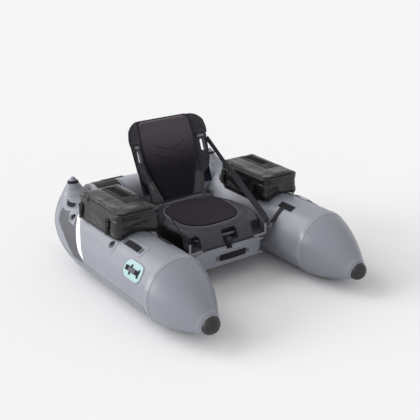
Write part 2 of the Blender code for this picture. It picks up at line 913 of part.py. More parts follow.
def seat_section(length_share, width_share, height_share):
    y = seat_front_y + seat_length * length_share
    half = seat_half_width * width_share
    height = seat_height * height_share
    side_height = height * seat_side_share
    right = [(half - seat_tuck, 0), (half, min(seat_tuck_height, side_height / 2)), (half, side_height)]
    for i in range(1, seat_edge_points + 1):
        turn = math.pi / 2 * i / seat_edge_points
        x = half - seat_edge_round * (1 - math.cos(turn))
        right.append((x, side_height + (height - side_height) * math.sin(turn)))
    left = [(-x, z) for x, z in reversed(right)]
    return [(x, y, seat_floor_z + z) for x, z in right + left]


def frame_path():
    inner_x = frame_half_width - frame_corner
    mid_y = frame_front_y + frame_corner
    bend = arc(inner_x, mid_y, frame_corner, 0, -90, frame_corner_points)
    points = [(frame_half_width, frame_rear_y), *bend]
    points += [(-x, y) for x, y in reversed(points)]
    slope = (frame_rear_z - frame_front_z) / (frame_rear_y - frame_front_y)
    return [(x, y, frame_front_z + slope * (y - frame_front_y)) for x, y in points]


def make_seat_base(look):
    base = loft("seat_base", [seat_section(*shares) for shares in seat_section_shares], look)
    tools = []
    front = seat_front_y - overrun
    windows = [(window_mid_x - window_half_width, window_mid_x + window_half_width, window_top_z)]
    windows += [(corner_window_inner_x, corner_window_outer_x, corner_window_top_z)]
    windows += [(-corner_window_outer_x, -corner_window_inner_x, corner_window_top_z)]
    for low_x, high_x, top in windows:
        size = (high_x - low_x, window_rear_y - front, top - window_bottom_z)
        place = at((low_x + high_x) / 2, (front + window_rear_y) / 2, (top + window_bottom_z) / 2)
        tools.append(box("window_cutter", size, place, None, window_round))
    tools.append(baked(pipe("frame_cutter", frame_path(), frame_tube_radius + gap)))
    return cut(base, *tools)


def make_seat_pad(look):
    bottom = seat_top_z + gap
    top = bottom + pad_thickness
    rings = []
    layers = (
        (pad_drawn_share, bottom), (1, bottom + pad_thickness / 2), (pad_drawn_share, top),
        (pad_groove_share, top - pad_thickness / 4), (pad_groove_share**2, top + pad_crown / 2),
        (pad_groove_share / 2, top + pad_crown),
    )
    for share, z in layers:
        ring = []
        for i in range(pad_points):
            turn = 2 * math.pi * (i + 0.5) / pad_points
            c, s = math.cos(turn), math.sin(turn)
            x = pad_half_width * math.copysign(abs(c) ** (2 / pad_power), c)
            y = pad_half_length * math.copysign(abs(s) ** (2 / pad_power), s)
            ring.append((x * share, pad_mid_y + y * share, z))
        rings.append(ring)
    return loft("seat_pad", rings, look, sharp_deg=60)


def make_bracket(name, side, look):
    y = seat_front_y - gap - bracket_thickness / 2
    outline = [
        (bracket_inner_x, 0), (bracket_outer_x, 0), (bracket_outer_x, bracket_height),
        (bracket_outer_x - bracket_leg_width, bracket_height),
        (bracket_outer_x - bracket_leg_width, bracket_foot_height), (bracket_inner_x, bracket_foot_height),
    ]
    placed = [(side * x, seat_floor_z + z) for x, z in outline]
    return plate(name, placed, bracket_thickness, across(y), look)


def make_front_strap(look):
    front = platform_front_y - gap
    ledge = seat_front_y - gap
    tube_side = frame_front_y - frame_tube_radius - gap
    rim_y = platform_front_y + platform_edge_round
    rim_z = platform_top_z - platform_edge_round
    rim = arc(rim_y, rim_z, platform_edge_round + gap, 180, front_strap_rim_deg, front_strap_points)
    path = [(front, front_strap_bottom_z), *rim, (ledge, frame_front_z - frame_tube_radius)]
    path += [(tube_side, frame_front_z)]
    web = plate("web", strap_outline(path, strap_thickness), front_strap_width, lengthwise(0))
    size = (front_buckle_width, front_buckle_depth, front_buckle_height)
    y = ledge - edge_bevel / 2 - front_buckle_depth / 2
    place = at(0, y, frame_front_z - frame_tube_radius - front_buckle_height / 2 - edge_bevel)
    return joined("front_strap", [web, box("buckle", size, place, None, edge_bevel)], look)


back_frame = at(0, hinge_y, hinge_z) @ Matrix.Rotation(-math.radians(back_lean_deg), 4, "X")


# A point of the backrest: across, up from the hinge and forward of the panel's face.
def back_point(x, up, forward):
    return back_frame @ Vector((x, -forward, up))


def both_ways(right):
    return [*right, 0, *[-x for x in reversed(right)]]


def shell_places(half):
    inner = min(panel_half_width + gap, half * shell_narrow_share)
    return [inner + (half - inner) * share for share in wing_place_shares] + [
        inner * share for share in shell_place_shares
    ]


shell_front = -(panel_thickness + gap)
hinge_place = (0, hinge_y, hinge_z)


def shell_forward(x):
    inner = panel_half_width + gap + sliver
    bend = max(0, min(1, (abs(x) - inner) / (back_half_width - inner)))
    return shell_front + (wing_forward - shell_front) * math.sqrt(bend)


def make_back_shell(look):
    rings = []
    for up_share, width_share in shell_outline_shares:
        xs = both_ways(shell_places(back_half_width * width_share))
        up = back_height * up_share
        front = [back_point(x, up, shell_forward(x)) for x in xs]
        rear = [back_point(x, up, shell_forward(x) - shell_thickness) for x in reversed(xs)]
        rings.append(front + rear)
    shell = loft("back_shell", rings, look)
    eye = arc(0, 0, arm_radius, 170, 370, arm_points)
    for side in (-1, 1):
        mid_x = side * (arm_inner_x + arm_thickness / 2)
        outline = [*eye, (arm_tip_outer, arm_up), (arm_tip_inner, arm_up)]
        combine(shell, "UNION", baked(plate("arm_join", outline, arm_thickness, back_frame @ lengthwise(mid_x))))
        end = slot_width / 2
        straight = slot_height / 2 - end
        outline = arc(0, straight, end, 0, 180, slot_end_points)
        outline += arc(0, -straight, end, 180, 360, slot_end_points)
        depth = 2 * (shell_thickness + wing_forward - shell_front)
        place = back_frame @ at(side * slot_mid_x, 0, slot_mid_up) @ face_up
        cut(shell, baked(plate("slot_cutter", outline, depth, place)))
        hole = disc_profile(pin_radius + pin_clearance, -arm_thickness, arm_thickness)
        turn = back_frame @ at(mid_x) @ Matrix.Rotation(math.pi / 2, 4, "Y")
        cut(shell, turned("pin_cutter", hole, turn, hinge_segments))
    return set_origin(shell, hinge_place)


def make_back_panel(look):
    rings = []
    edge = panel_thickness / 2
    for up_share, width_share in panel_outline_shares:
        half = panel_half_width * width_share
        up = back_height * up_share
        front = []
        for x in both_ways([half * share for share in panel_place_shares]):
            across_share = abs(x) / half
            forward = panel_crown * (1 - across_share**2) - edge * across_share**6
            front.append(back_point(x, up, forward))
        rear = [back_point(x, up, -panel_thickness) for x in (-half, half)]
        rings.append(front + rear)
    panel = loft("back_panel", rings, look)
    depth = panel_crown + chevron_rise + overrun
    forward = panel_crown + chevron_rise - depth / 2
    rise = math.radians(chevron_rise_deg)
    for apex_share, arm_length in zip(chevron_apex_shares, chevron_arm_lengths):
        reach, lift = arm_length * math.cos(rise), arm_length * math.sin(rise)
        outline = strap_outline([(-reach, lift), (0, 0), (reach, lift)], chevron_width)
        place = back_frame @ at(0, -forward, back_height * apex_share) @ face_up
        combine(panel, "UNION", baked(plate("rib", outline, depth, place)))
    return set_origin(panel, hinge_place)


def make_pocket(look):
    rear = -shell_front + shell_thickness + gap
    size = (2 * pocket_half_width, pocket_thickness, pocket_height)
    place = at(0, rear + pocket_thickness / 2, pocket_bottom_up + pocket_height / 2)
    pocket = box("back_pocket", size, place, None, pocket_round)
    pocket = baked(pocket, look)
    pocket.matrix_world = back_frame
    return pocket


def make_hinge(word, side, bracket_look, pin_look):
    inner = arm_inner_x + arm_thickness + gap
    outer = inner + post_thickness
    foot = platform_top_z + gap
    sides = post_radius + post_foot_margin
    outline = arc(hinge_y, hinge_z, post_radius, 0, 180, arm_points)
    outline += [(hinge_y - sides, foot), (hinge_y + sides, foot)]
    middle = lengthwise(side * (inner + post_thickness / 2))
    post = baked(plate(f"hinge_bracket_{word}", outline, post_thickness, middle), bracket_look)
    axle = at(0, hinge_y, hinge_z) @ Matrix.Rotation(side * math.pi / 2, 4, "Y")
    hole = disc_profile(pin_radius + gap, inner - overrun, outer + overrun)
    cut(post, turned("post_cutter", hole, axle, hinge_segments))
    end = arm_inner_x - gap
    profile = [
        (0, outer + gap + pin_head_thickness), (pin_head_radius, outer + gap + pin_head_thickness),
        (pin_head_radius, outer + gap), (pin_radius, outer + gap), (pin_radius, end),
        (pin_head_radius, end), (pin_head_radius, end - pin_head_thickness), (0, end - pin_head_thickness),
    ]
    turned(f"hinge_pin_{word}", profile, axle, hinge_segments, pin_look)


def make_side_strap(name, side, look):
    rear = seat_front_y + strap_thickness
    top = back_point(0, side_strap_top_up, side_strap_top_forward)
    path = [(rear, side_strap_foot_z), (rear, side_strap_bend_z), (top.y, top.z)]
    web = plate("web", strap_outline(path, strap_thickness), side_strap_width, lengthwise(side * side_strap_x))
    start, end = Vector(path[1]), Vector(path[2])
    along = (end - start).normalized()
    left = Vector((-along.y, along.x))
    base = start + (end - start) * adjuster_along_share - left * (adjuster_thickness - strap_thickness) / 2
    ends = [base - along * adjuster_length / 2, base + along * adjuster_length / 2]
    outline = strap_outline([tuple(v) for v in ends], adjuster_thickness)
    adjuster = plate("adjuster", outline, adjuster_width, lengthwise(side * side_strap_x))
    return joined(name, [web, adjuster], look)


# From a front corner bracket straight to the tube, then on round it.
def make_lashing_strap(name, side, look):
    y = seat_front_y + lash_width / 2
    reach = tube_radius + gap
    offset = Vector((lash_foot_x - tube_half_spacing, lash_foot_z - tube_z))
    turn = math.atan2(offset.y, offset.x) - math.acos(reach / offset.length)
    bend = arc(tube_half_spacing, tube_z, reach, math.degrees(turn), 90 - lash_top_deg, lash_points)
    path = [(side * x, z) for x, z in [(lash_foot_x, lash_foot_z), *bend]]
    return plate(name, strap_outline(path, side * strap_thickness), lash_width, across(y), look)


def bag_block(name, side, bottom, top, inset, corner):
    outline = rounded_outline(bag_width / 2 - inset, bag_length / 2 - inset, corner, bag_corner_points)
    place = at(side * bag_mid_x, bag_mid_y, (bottom + top) / 2)
    return baked(plate(name, outline, top - bottom, place), flatten=True)


def make_bag(tub_name, lid_name, side, look, lid_look):
    tub = bag_block(tub_name, side, bag_bottom_z, bag_rim_z, 0, bag_corner)
    tub.data.materials.append(finish(f"{tub_name} finish", *look))
    inner_corner = bag_corner - bag_wall
    hollow = bag_block("bag_hollow", side, bag_bottom_z + bag_floor, bag_rim_z + overrun, bag_wall, inner_corner)
    floor_lift = saddle_lift + bag_floor
    hollow_mesh = baked(cut(hollow, make_tube("tube_floor", side, lift=floor_lift)))
    cut(tub, hollow_mesh, make_tube("tube_saddle", side, lift=saddle_lift))
    base = bag_rim_z + gap
    skirt = base - 2 * bag_edge_round
    lid = bag_block(lid_name, side, skirt, bag_top_z, -lid_proud, bag_corner + lid_proud)
    rounding = lid.modifiers.new("edge", "BEVEL")
    rounding.width = bag_edge_round
    rounding.segments = 2
    rounding.limit_method = "ANGLE"
    rounding.angle_limit = math.radians(60)
    lid = baked(lid, lid_look)
    lid_hollow = bag_block("lid_hollow", side, base - overrun, bag_top_z - lid_wall, lid_wall, inner_corner)
    below = bag_block("lid_skirt", side, skirt - overrun, base, -lid_proud - overrun, bag_corner)
    cut(lid, below, lid_hollow)
    set_origin(lid, (side * bag_mid_x, bag_rear_y + lid_proud, base))


# A sheet under the bag, on the tube, with straps and buckles that rise from it on both long sides.
def make_harness(name, side, look):
    start = bag_front_y + bag_sheet_front_inset - seam_y
    end = bag_rear_y - bag_sheet_rear_inset - seam_y
    low, high = bag_sheet_start_deg, bag_sheet_end_deg
    angles = [low, *grid_angles(low, high), high]
    rows = [[(place, angle) for place in columns(start, end, start, end)] for angle in angles]
    pieces = [skin("sheet", side, rows, gap, bag_sheet_thickness)]
    reach = tube_radius + bag_foot_lift
    top = bag_rim_z - bag_strap_top_drop
    for way in (-1, 1):
        x = bag_mid_x + way * (bag_width / 2 + gap + strap_thickness)
        start_deg = math.degrees(math.asin((x - tube_half_spacing) / reach))
        end_deg = start_deg - way * math.degrees(bag_strap_foot_length / reach)
        landing = arc(tube_half_spacing, tube_z, reach, 90 - start_deg, 90 - end_deg, bag_strap_points)
        path = [(side * px, pz) for px, pz in [(x, top), *landing]]
        outline = strap_outline(path, -side * way * strap_thickness)
        for y in (bag_front_y + bag_strap_front_setback, bag_rear_y - bag_strap_rear_setback):
            pieces.append(plate("strap", outline, bag_strap_width, across(y)))
            size = (bag_buckle_depth, bag_buckle_width, bag_buckle_length)
            buckle_x = x + way * (bag_buckle_depth / 2 - join_depth)
            place = at(side * buckle_x, y, top - bag_buckle_drop + bag_buckle_length / 2)
            pieces.append(box("buckle", size, place, None, edge_bevel))
    return joined(name, pieces, look)


hull_look = (hull_grey, 0.42)
patch_look = (hull_grey, 0.45)
black_look = (black, 0.45)
webbing_look = (webbing_black, 0.85)
fitting_look = (plastic_grey, 0.45)
bag_look = (bag_grey, 0.35)

for side, word in ((-1, "left"), (1, "right")):
    make_tube(f"pontoon_{word}", side, hull_look)
    make_nose_cap(f"nose_cap_{word}", side, (black, 0.5))
    make_keel(f"keel_skin_{word}", side, (keel_grey, 0.5))
    make_tail_strap(f"tail_strap_{word}", side, webbing_look)
    make_side_web(f"side_web_{word}", side, hull_look)
    for place in ("front", "rear"):
        make_handle(word, side, place, patch_look, webbing_look)
        make_ring_patch(f"ring_patch_{place}_{word}", side, place, patch_look)
        make_d_ring(f"d_ring_{place}_{word}", side, place, (plastic_grey, 0.35, 0.6))
    valve_frame = tube_frame(side, valve_tube_along, valve_tube_deg, patch_top_lift)
    valve_names = (f"valve_{word}", f"valve_cap_{word}")
    valve = make_valve(*valve_names, valve_frame, black_look, black_look, valve_flange_thickness)
    cut(valve, make_tube("valve_seat", side, lift=gap))
    make_bag(f"bag_tub_{word}", f"bag_lid_{word}", side, bag_look, bag_look)
    make_harness(f"bag_harness_{word}", side, webbing_look)
    make_side_strap(f"side_strap_{word}", side, webbing_look)
    make_lashing_strap(f"lashing_strap_{word}", side, webbing_look)
    make_bracket(f"seat_bracket_{word}", side, fitting_look)
    make_hinge(word, side, fitting_look, (aluminium_grey, 0.35, 1))

make_platform(hull_look)
make_cross_tube(hull_look)
make_platform_handle(webbing_look)
make_rod_strap((mint, 0.5), black_look)
platform_valve_frame = at(0, valve_platform_y, platform_top_z + gap)
make_valve("valve_platform", "valve_cap_platform", platform_valve_frame, black_look, black_look)
make_seat_base((cover_grey, 0.8))
make_seat_pad((foam_black, 0.9))
pipe("seat_frame_tube", frame_path(), frame_tube_radius, (aluminium_grey, 0.3, 1))
make_front_strap(webbing_look)
make_back_shell((cover_grey, 0.8))
make_back_panel((foam_black, 0.75))
make_pocket((navy, 0.8))
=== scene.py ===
# Float tube: the looks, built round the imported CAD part.
import json
import math

import bpy
import numpy as np
from mathutils import Matrix, Vector, noise

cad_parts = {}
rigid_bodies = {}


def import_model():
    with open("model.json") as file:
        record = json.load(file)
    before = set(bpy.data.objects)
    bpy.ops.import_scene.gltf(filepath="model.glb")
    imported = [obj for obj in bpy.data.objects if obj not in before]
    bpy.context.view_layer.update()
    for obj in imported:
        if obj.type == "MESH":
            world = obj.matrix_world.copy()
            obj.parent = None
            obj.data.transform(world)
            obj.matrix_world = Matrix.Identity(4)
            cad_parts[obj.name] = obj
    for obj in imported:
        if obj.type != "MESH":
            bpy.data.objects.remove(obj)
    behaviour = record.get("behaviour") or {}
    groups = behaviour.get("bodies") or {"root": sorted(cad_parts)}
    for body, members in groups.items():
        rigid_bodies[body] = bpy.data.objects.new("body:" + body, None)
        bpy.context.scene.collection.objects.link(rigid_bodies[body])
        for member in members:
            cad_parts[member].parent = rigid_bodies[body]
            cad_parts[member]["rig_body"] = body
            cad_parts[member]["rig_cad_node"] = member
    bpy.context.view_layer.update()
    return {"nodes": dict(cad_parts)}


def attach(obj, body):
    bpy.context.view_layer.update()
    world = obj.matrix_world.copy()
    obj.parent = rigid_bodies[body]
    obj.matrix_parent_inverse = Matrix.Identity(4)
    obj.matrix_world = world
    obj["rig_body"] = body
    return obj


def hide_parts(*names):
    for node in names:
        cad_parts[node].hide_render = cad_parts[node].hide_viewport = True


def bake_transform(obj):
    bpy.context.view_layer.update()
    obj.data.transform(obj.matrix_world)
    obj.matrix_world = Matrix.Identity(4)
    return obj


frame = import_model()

mm = 0.001
sides = ((-1, "left"), (1, "right"))
axisX, axisY, axisZ = (Vector(axis) for axis in ((1, 0, 0), (0, 1, 0), (0, 0, 1)))

print("scene: camera, floor and light")

# The photograph's own viewpoint, found from the tubes and the seat
camera = {"place": (-2.133, -2.781, 1.731), "azimuth": -37.62, "elevation": 22.18, "roll": 1.32, "lens": 69.47,
          "sensor": 36, "near": 0.05, "far": 200}
# The sky and the suns add up to about 1 on level ground, so a level colour renders as it is written
light = {
    "sky": 0.62,
    "back": {"towards": (-0.38, 0.66, 0.65), "strength": 1.15, "spread": 38},
    "left": {"towards": (-0.87, 0.43, 0.24), "strength": 1.9, "spread": 40},
}
floor = {"size": 60, "colour": "#f5f5f5"}


def colour(hexText):
    # sRGB hex to the linear colour that the shader wants
    parts = [int(hexText[i:i + 2], 16) / 255 for i in (1, 3, 5)]
    return (*[v / 12.92 if v <= 0.04045 else ((v + 0.055) / 1.055) ** 2.4 for v in parts], 1)


def addNode(tree, kind, links=None, **settings):
    # one node, its settings, and what feeds or sets its sockets
    node = tree.nodes.new("ShaderNode" + kind)
    for name, value in settings.items():
        setattr(node, name, value)
    for socket, value in (links or {}).items():
        if isinstance(value, bpy.types.NodeSocket):
            tree.links.new(value, node.inputs[socket])
        else:
            node.inputs[socket].default_value = value
    return node


def frameFrom(right, upward, out, place):
    # three directions and a place as one matrix
    made = Matrix((right, upward, out)).transposed().to_4x4()
    made.translation = place
    return made


def placeCamera():
    a, e, r = (math.radians(camera[k]) for k in ("azimuth", "elevation", "roll"))
    back = Vector((math.sin(a) * math.cos(e), -math.cos(a) * math.cos(e), math.sin(e)))
    level = Vector((math.cos(a), math.sin(a), 0))
    upright = back.cross(level)
    right = level * math.cos(r) + upright * math.sin(r)
    data = bpy.data.cameras.new("photoCamera")
    data.lens, data.sensor_width = camera["lens"], camera["sensor"]
    data.clip_start, data.clip_end = camera["near"], camera["far"]
    view = bpy.data.objects.new("photoCamera", data)
    bpy.context.scene.collection.objects.link(view)
    view.matrix_world = frameFrom(right, upright * math.cos(r) - level * math.sin(r), back, camera["place"])
    bpy.context.scene.camera = view


def addSun(name, towards, strength, spread):
    data = bpy.data.lights.new(name, "SUN")
    data.energy = strength
    data.angle = math.radians(spread)
    lamp = bpy.data.objects.new(name, data)
    bpy.context.scene.collection.objects.link(lamp)
    lamp.rotation_mode = "QUATERNION"
    lamp.rotation_quaternion = Vector(towards).to_track_quat("Z", "Y")


def deselect():
    bpy.ops.object.select_all(action="DESELECT")


def activate(*objects):
    deselect()
    for item in objects:
        item.select_set(True)
    bpy.context.view_layer.objects.active = objects[0]


def layFloor():
    deselect()
    bpy.ops.mesh.primitive_plane_add(size=floor["size"], location=(0, 0, 0))
    ground = bpy.context.active_object
    ground.name = "studioFloor"
    # seamless paper: matt, and as bright as it is written where nothing shades it
    made = bpy.data.materials.new("seamlessPaper")
    made.use_nodes = True
    tree = made.node_tree
    tree.nodes.clear()
    paper = addNode(tree, "BsdfDiffuse", {"Color": colour(floor["colour"])})
    addNode(tree, "OutputMaterial", {"Surface": paper.outputs[0]})
    ground.data.materials.append(made)


def lightSky():
    world = bpy.data.worlds.new("studio")
    bpy.context.scene.world = world
    world.use_nodes = True
    tree = world.node_tree
    tree.nodes.clear()
    path = addNode(tree, "LightPath")
    soft = addNode(tree, "Background", {"Color": colour("#ffffff"), "Strength": light["sky"]})
    backdrop = addNode(tree, "Background", {"Color": colour(floor["colour"]), "Strength": 1.0})
    seen = path.outputs["Is Camera Ray"]
    for ray in ("Is Glossy Ray", "Is Transmission Ray"):
        seen = addNode(tree, "Math", {0: seen, 1: path.outputs[ray]}, operation="MAXIMUM").outputs[0]
    mix = addNode(tree, "MixShader", {0: seen, 1: soft.outputs[0], 2: backdrop.outputs[0]})
    addNode(tree, "OutputWorld", {"Surface": mix.outputs[0]})


bpy.context.scene.view_settings.view_transform = "Standard"
placeCamera()
layFloor()
lightSky()
for side in ("back", "left"):
    addSun(side + "Sun", **light[side])

print("scene: materials")

waveBand = 0.314                  # a wave texture's bands are this over its scale apart
clothTurn = (0.35, 0.2, 0.3)      # turns a weave off the axes, so that no surface runs along its threads


def startMaterial(name, roughness, specular=0.5, **sockets):
    made = bpy.data.materials.new(name)
    made.use_nodes = True
    shader = made.node_tree.nodes["Principled BSDF"]
    shader.inputs["Roughness"].default_value = roughness
    shader.inputs["Specular IOR Level"].default_value = specular
    for socket, value in sockets.items():
        shader.inputs[socket.replace("_", " ")].default_value = value
    return made, made.node_tree, shader


def feed(shader, socket, node, output=0):
    # what a node gives goes into one of the shader's sockets
    shader.id_data.links.new(node.outputs[output], shader.inputs[socket])


def objectPlace(tree, scale=(1, 1, 1), turn=(0, 0, 0)):
    place = addNode(tree, "TexCoord").outputs["Object"]
    return addNode(tree, "Mapping", {"Vector": place, "Scale": scale, "Rotation": turn}).outputs[0]


def tintBetween(tree, shader, share, base, other):
    mix = addNode(tree, "Mix", {"Factor": share, 6: colour(base), 7: colour(other)}, data_type="RGBA")
    feed(shader, "Base Color", mix, 2)


def tintByNoise(tree, shader, base, other, size, vector):
    # slow drift between two close colours, at a real size in metres
    cloud = addNode(tree, "TexNoise", {"Vector": vector, "Scale": 1 / size, "Detail": 4, "Roughness": 0.6})
    tintBetween(tree, shader, cloud.outputs[0], base, other)


def roughenByNoise(tree, shader, low, high, size, vector):
    cloud = addNode(tree, "TexNoise", {"Vector": vector, "Scale": 1 / size, "Detail": 3})
    feed(shader, "Roughness", addNode(tree, "MapRange", {
        "Value": cloud.outputs[0], "From Min": 0.3, "From Max": 0.7, "To Min": low, "To Max": high}))


def raiseSurface(tree, shader, *layers):
    # heights laid over each other, each as (height, distance) or (height, distance, strength)
    under = {}
    for height, distance, *strength in layers:
        links = {"Height": height, "Distance": distance, "Strength": strength[0] if strength else 1.0, **under}
        bump = addNode(tree, "Bump", links)
        under = {"Normal": bump.outputs[0]}
    feed(shader, "Normal", bump)


def wovenHeight(tree, pitch, vector):
    # two crossed sets of threads, one thread every pitch
    links = {"Vector": vector, "Scale": waveBand / pitch, "Distortion": 0.4, "Detail": 1, "Detail Scale": 2}
    waves = [addNode(tree, "TexWave", links, bands_direction=axis, wave_profile="SIN").outputs[1] for axis in "XY"]
    return addNode(tree, "Math", {0: waves[0], 1: waves[1]}, operation="MAXIMUM").outputs[0]


def coatedPvc(name, base, other, roughness=(0.36, 0.5), wrinkle=0.5):
    # calendered PVC on polyester cloth: a satin plastic skin, slightly uneven where the air pulls it tight
    made, tree, shader = startMaterial(name, 0.42, 0.45)
    vector = objectPlace(tree)
    tintByNoise(tree, shader, base, other, 0.22, vector)
    roughenByNoise(tree, shader, *roughness, 0.06, vector)
    slow = addNode(tree, "TexNoise", {"Vector": vector, "Scale": 1 / 0.045, "Detail": 2}).outputs[0]
    # the cloth's grid is under a millimetre; drawn at 1.6 mm so that it shows
    raiseSurface(tree, shader, (slow, 0.0012 * wrinkle), (wovenHeight(tree, 1.6 * mm, vector), 0.00006, 0.6))
    return made


def mouldedPlastic(name, base, other, roughness):
    # injection moulded plastic or rubber: fine spark grain that breaks up the gloss
    made, tree, shader = startMaterial(name, roughness)
    vector = objectPlace(tree)
    tintByNoise(tree, shader, base, other, 0.02, vector)
    roughenByNoise(tree, shader, roughness - 0.05, roughness + 0.08, 0.01, vector)
    spark = addNode(tree, "TexNoise", {"Vector": vector, "Scale": 1 / (0.7 * mm), "Detail": 3}).outputs[0]
    raiseSurface(tree, shader, (spark, 0.00008))
    return made


def wovenWebbing(name, base, other, pitch=2.0 * mm):
    # polyester webbing: chevron ribs along the strap and a dull sheen. The real rib is 1 mm; drawn at 2 mm
    made, tree, shader = startMaterial(name, 0.72, 0.12, Sheen_Weight=0.08, Sheen_Roughness=0.5)
    place = addNode(tree, "TexCoord").outputs["UV"]
    # UV is in metres: x along the strap, y across it
    parts = addNode(tree, "SeparateXYZ", {"Vector": place})
    half = addNode(tree, "Math", {0: parts.outputs[1]}, operation="ABSOLUTE")
    slant = addNode(tree, "Math", {0: parts.outputs[0], 1: half.outputs[0]}, operation="ADD")
    turns = addNode(tree, "Math", {0: slant.outputs[0], 1: 2 * math.pi / pitch}, operation="MULTIPLY")
    wave = addNode(tree, "Math", {0: turns.outputs[0]}, operation="SINE")
    rib = addNode(tree, "MapRange", {"Value": wave.outputs[0], "From Min": -1, "From Max": 1}).outputs[0]
    # the colour follows the ribs: painted shade in their grooves, lighter on their crests
    tintBetween(tree, shader, rib, base, other)
    raiseSurface(tree, shader, (rib, 0.0003, 0.8))
    return made


def wovenCloth(name, base, other, roughness, pitch, depth, sheen=0.2, crease=0.0):
    # plain woven pack cloth: crossed threads, soft sheen, slow unevenness from wear
    made, tree, shader = startMaterial(name, roughness, 0.12, Sheen_Weight=sheen, Sheen_Roughness=0.45)
    vector = objectPlace(tree, turn=clothTurn)
    threads = wovenHeight(tree, pitch, vector)
    cloud = addNode(tree, "TexNoise", {"Vector": vector, "Scale": 1 / 0.05, "Detail": 4})
    # the colour drifts at random, and is darker between the threads: painted shade in the weave
    blend = addNode(tree, "Math", {0: cloud.outputs[0], 1: threads}, operation="MULTIPLY")
    tintBetween(tree, shader, blend.outputs[0], base, other)
    layers = [(threads, depth, 0.8)]
    if crease:
        slow = addNode(tree, "TexNoise", {"Vector": vector, "Scale": 1 / 0.035, "Detail": 2}).outputs[0]
        layers.insert(0, (slow, crease))
    raiseSurface(tree, shader, *layers)
    return made


def topLighterFoam(name, base, other):
    # the back panel's cloth: a little lighter towards its top, near black below
    made, tree, shader = startMaterial(name, 0.8, 0.12, Sheen_Weight=0.15)
    height = addNode(tree, "SeparateXYZ", {"Vector": addNode(tree, "TexCoord").outputs["Object"]}).outputs[2]
    share = addNode(tree, "MapRange", {"Value": height, "From Min": 0.42, "From Max": 0.62},
                    interpolation_type="SMOOTHSTEP").outputs[0]
    tintBetween(tree, shader, share, base, other)
    raiseSurface(tree, shader, (wovenHeight(tree, 1.2 * mm, objectPlace(tree, turn=clothTurn)), 0.00008, 0.8))
    return made


def tarpaulin(name, base, other, crease=0.0018, roughness=0.3, gloss=0.38):
    # PVC tarpaulin: smooth, glossy, with long soft creases that catch the light
    made, tree, shader = startMaterial(name, roughness, 0.25, Coat_Weight=gloss, Coat_Roughness=0.24)
    vector = objectPlace(tree)
    tintByNoise(tree, shader, base, other, 0.06, vector)
    roughenByNoise(tree, shader, roughness - 0.04, roughness + 0.08, 0.03, vector)
    folds = addNode(tree, "TexNoise", {"Vector": objectPlace(tree, (1, 0.45, 1.3)), "Scale": 1 / 0.075, "Detail": 1,
                                       "Distortion": 0.6}).outputs[0]
    raiseSurface(tree, shader, (folds, crease, 0.8), (wovenHeight(tree, 1.5 * mm, vector), 0.00005, 0.5))
    return made


def drawnMetal(name, base, roughness):
    # drawn tube or plated wire: fine lines along it that stretch its highlights
    made, tree, shader = startMaterial(name, roughness, Metallic=1.0, Base_Color=colour(base))
    lines = addNode(tree, "TexNoise", {"Vector": objectPlace(tree, (40, 1200, 1200)), "Scale": 1.0, "Detail": 2})
    roughenByNoise(tree, shader, roughness - 0.06, roughness + 0.1, 0.015, objectPlace(tree))
    raiseSurface(tree, shader, (lines.outputs[0], 0.00003))
    return made


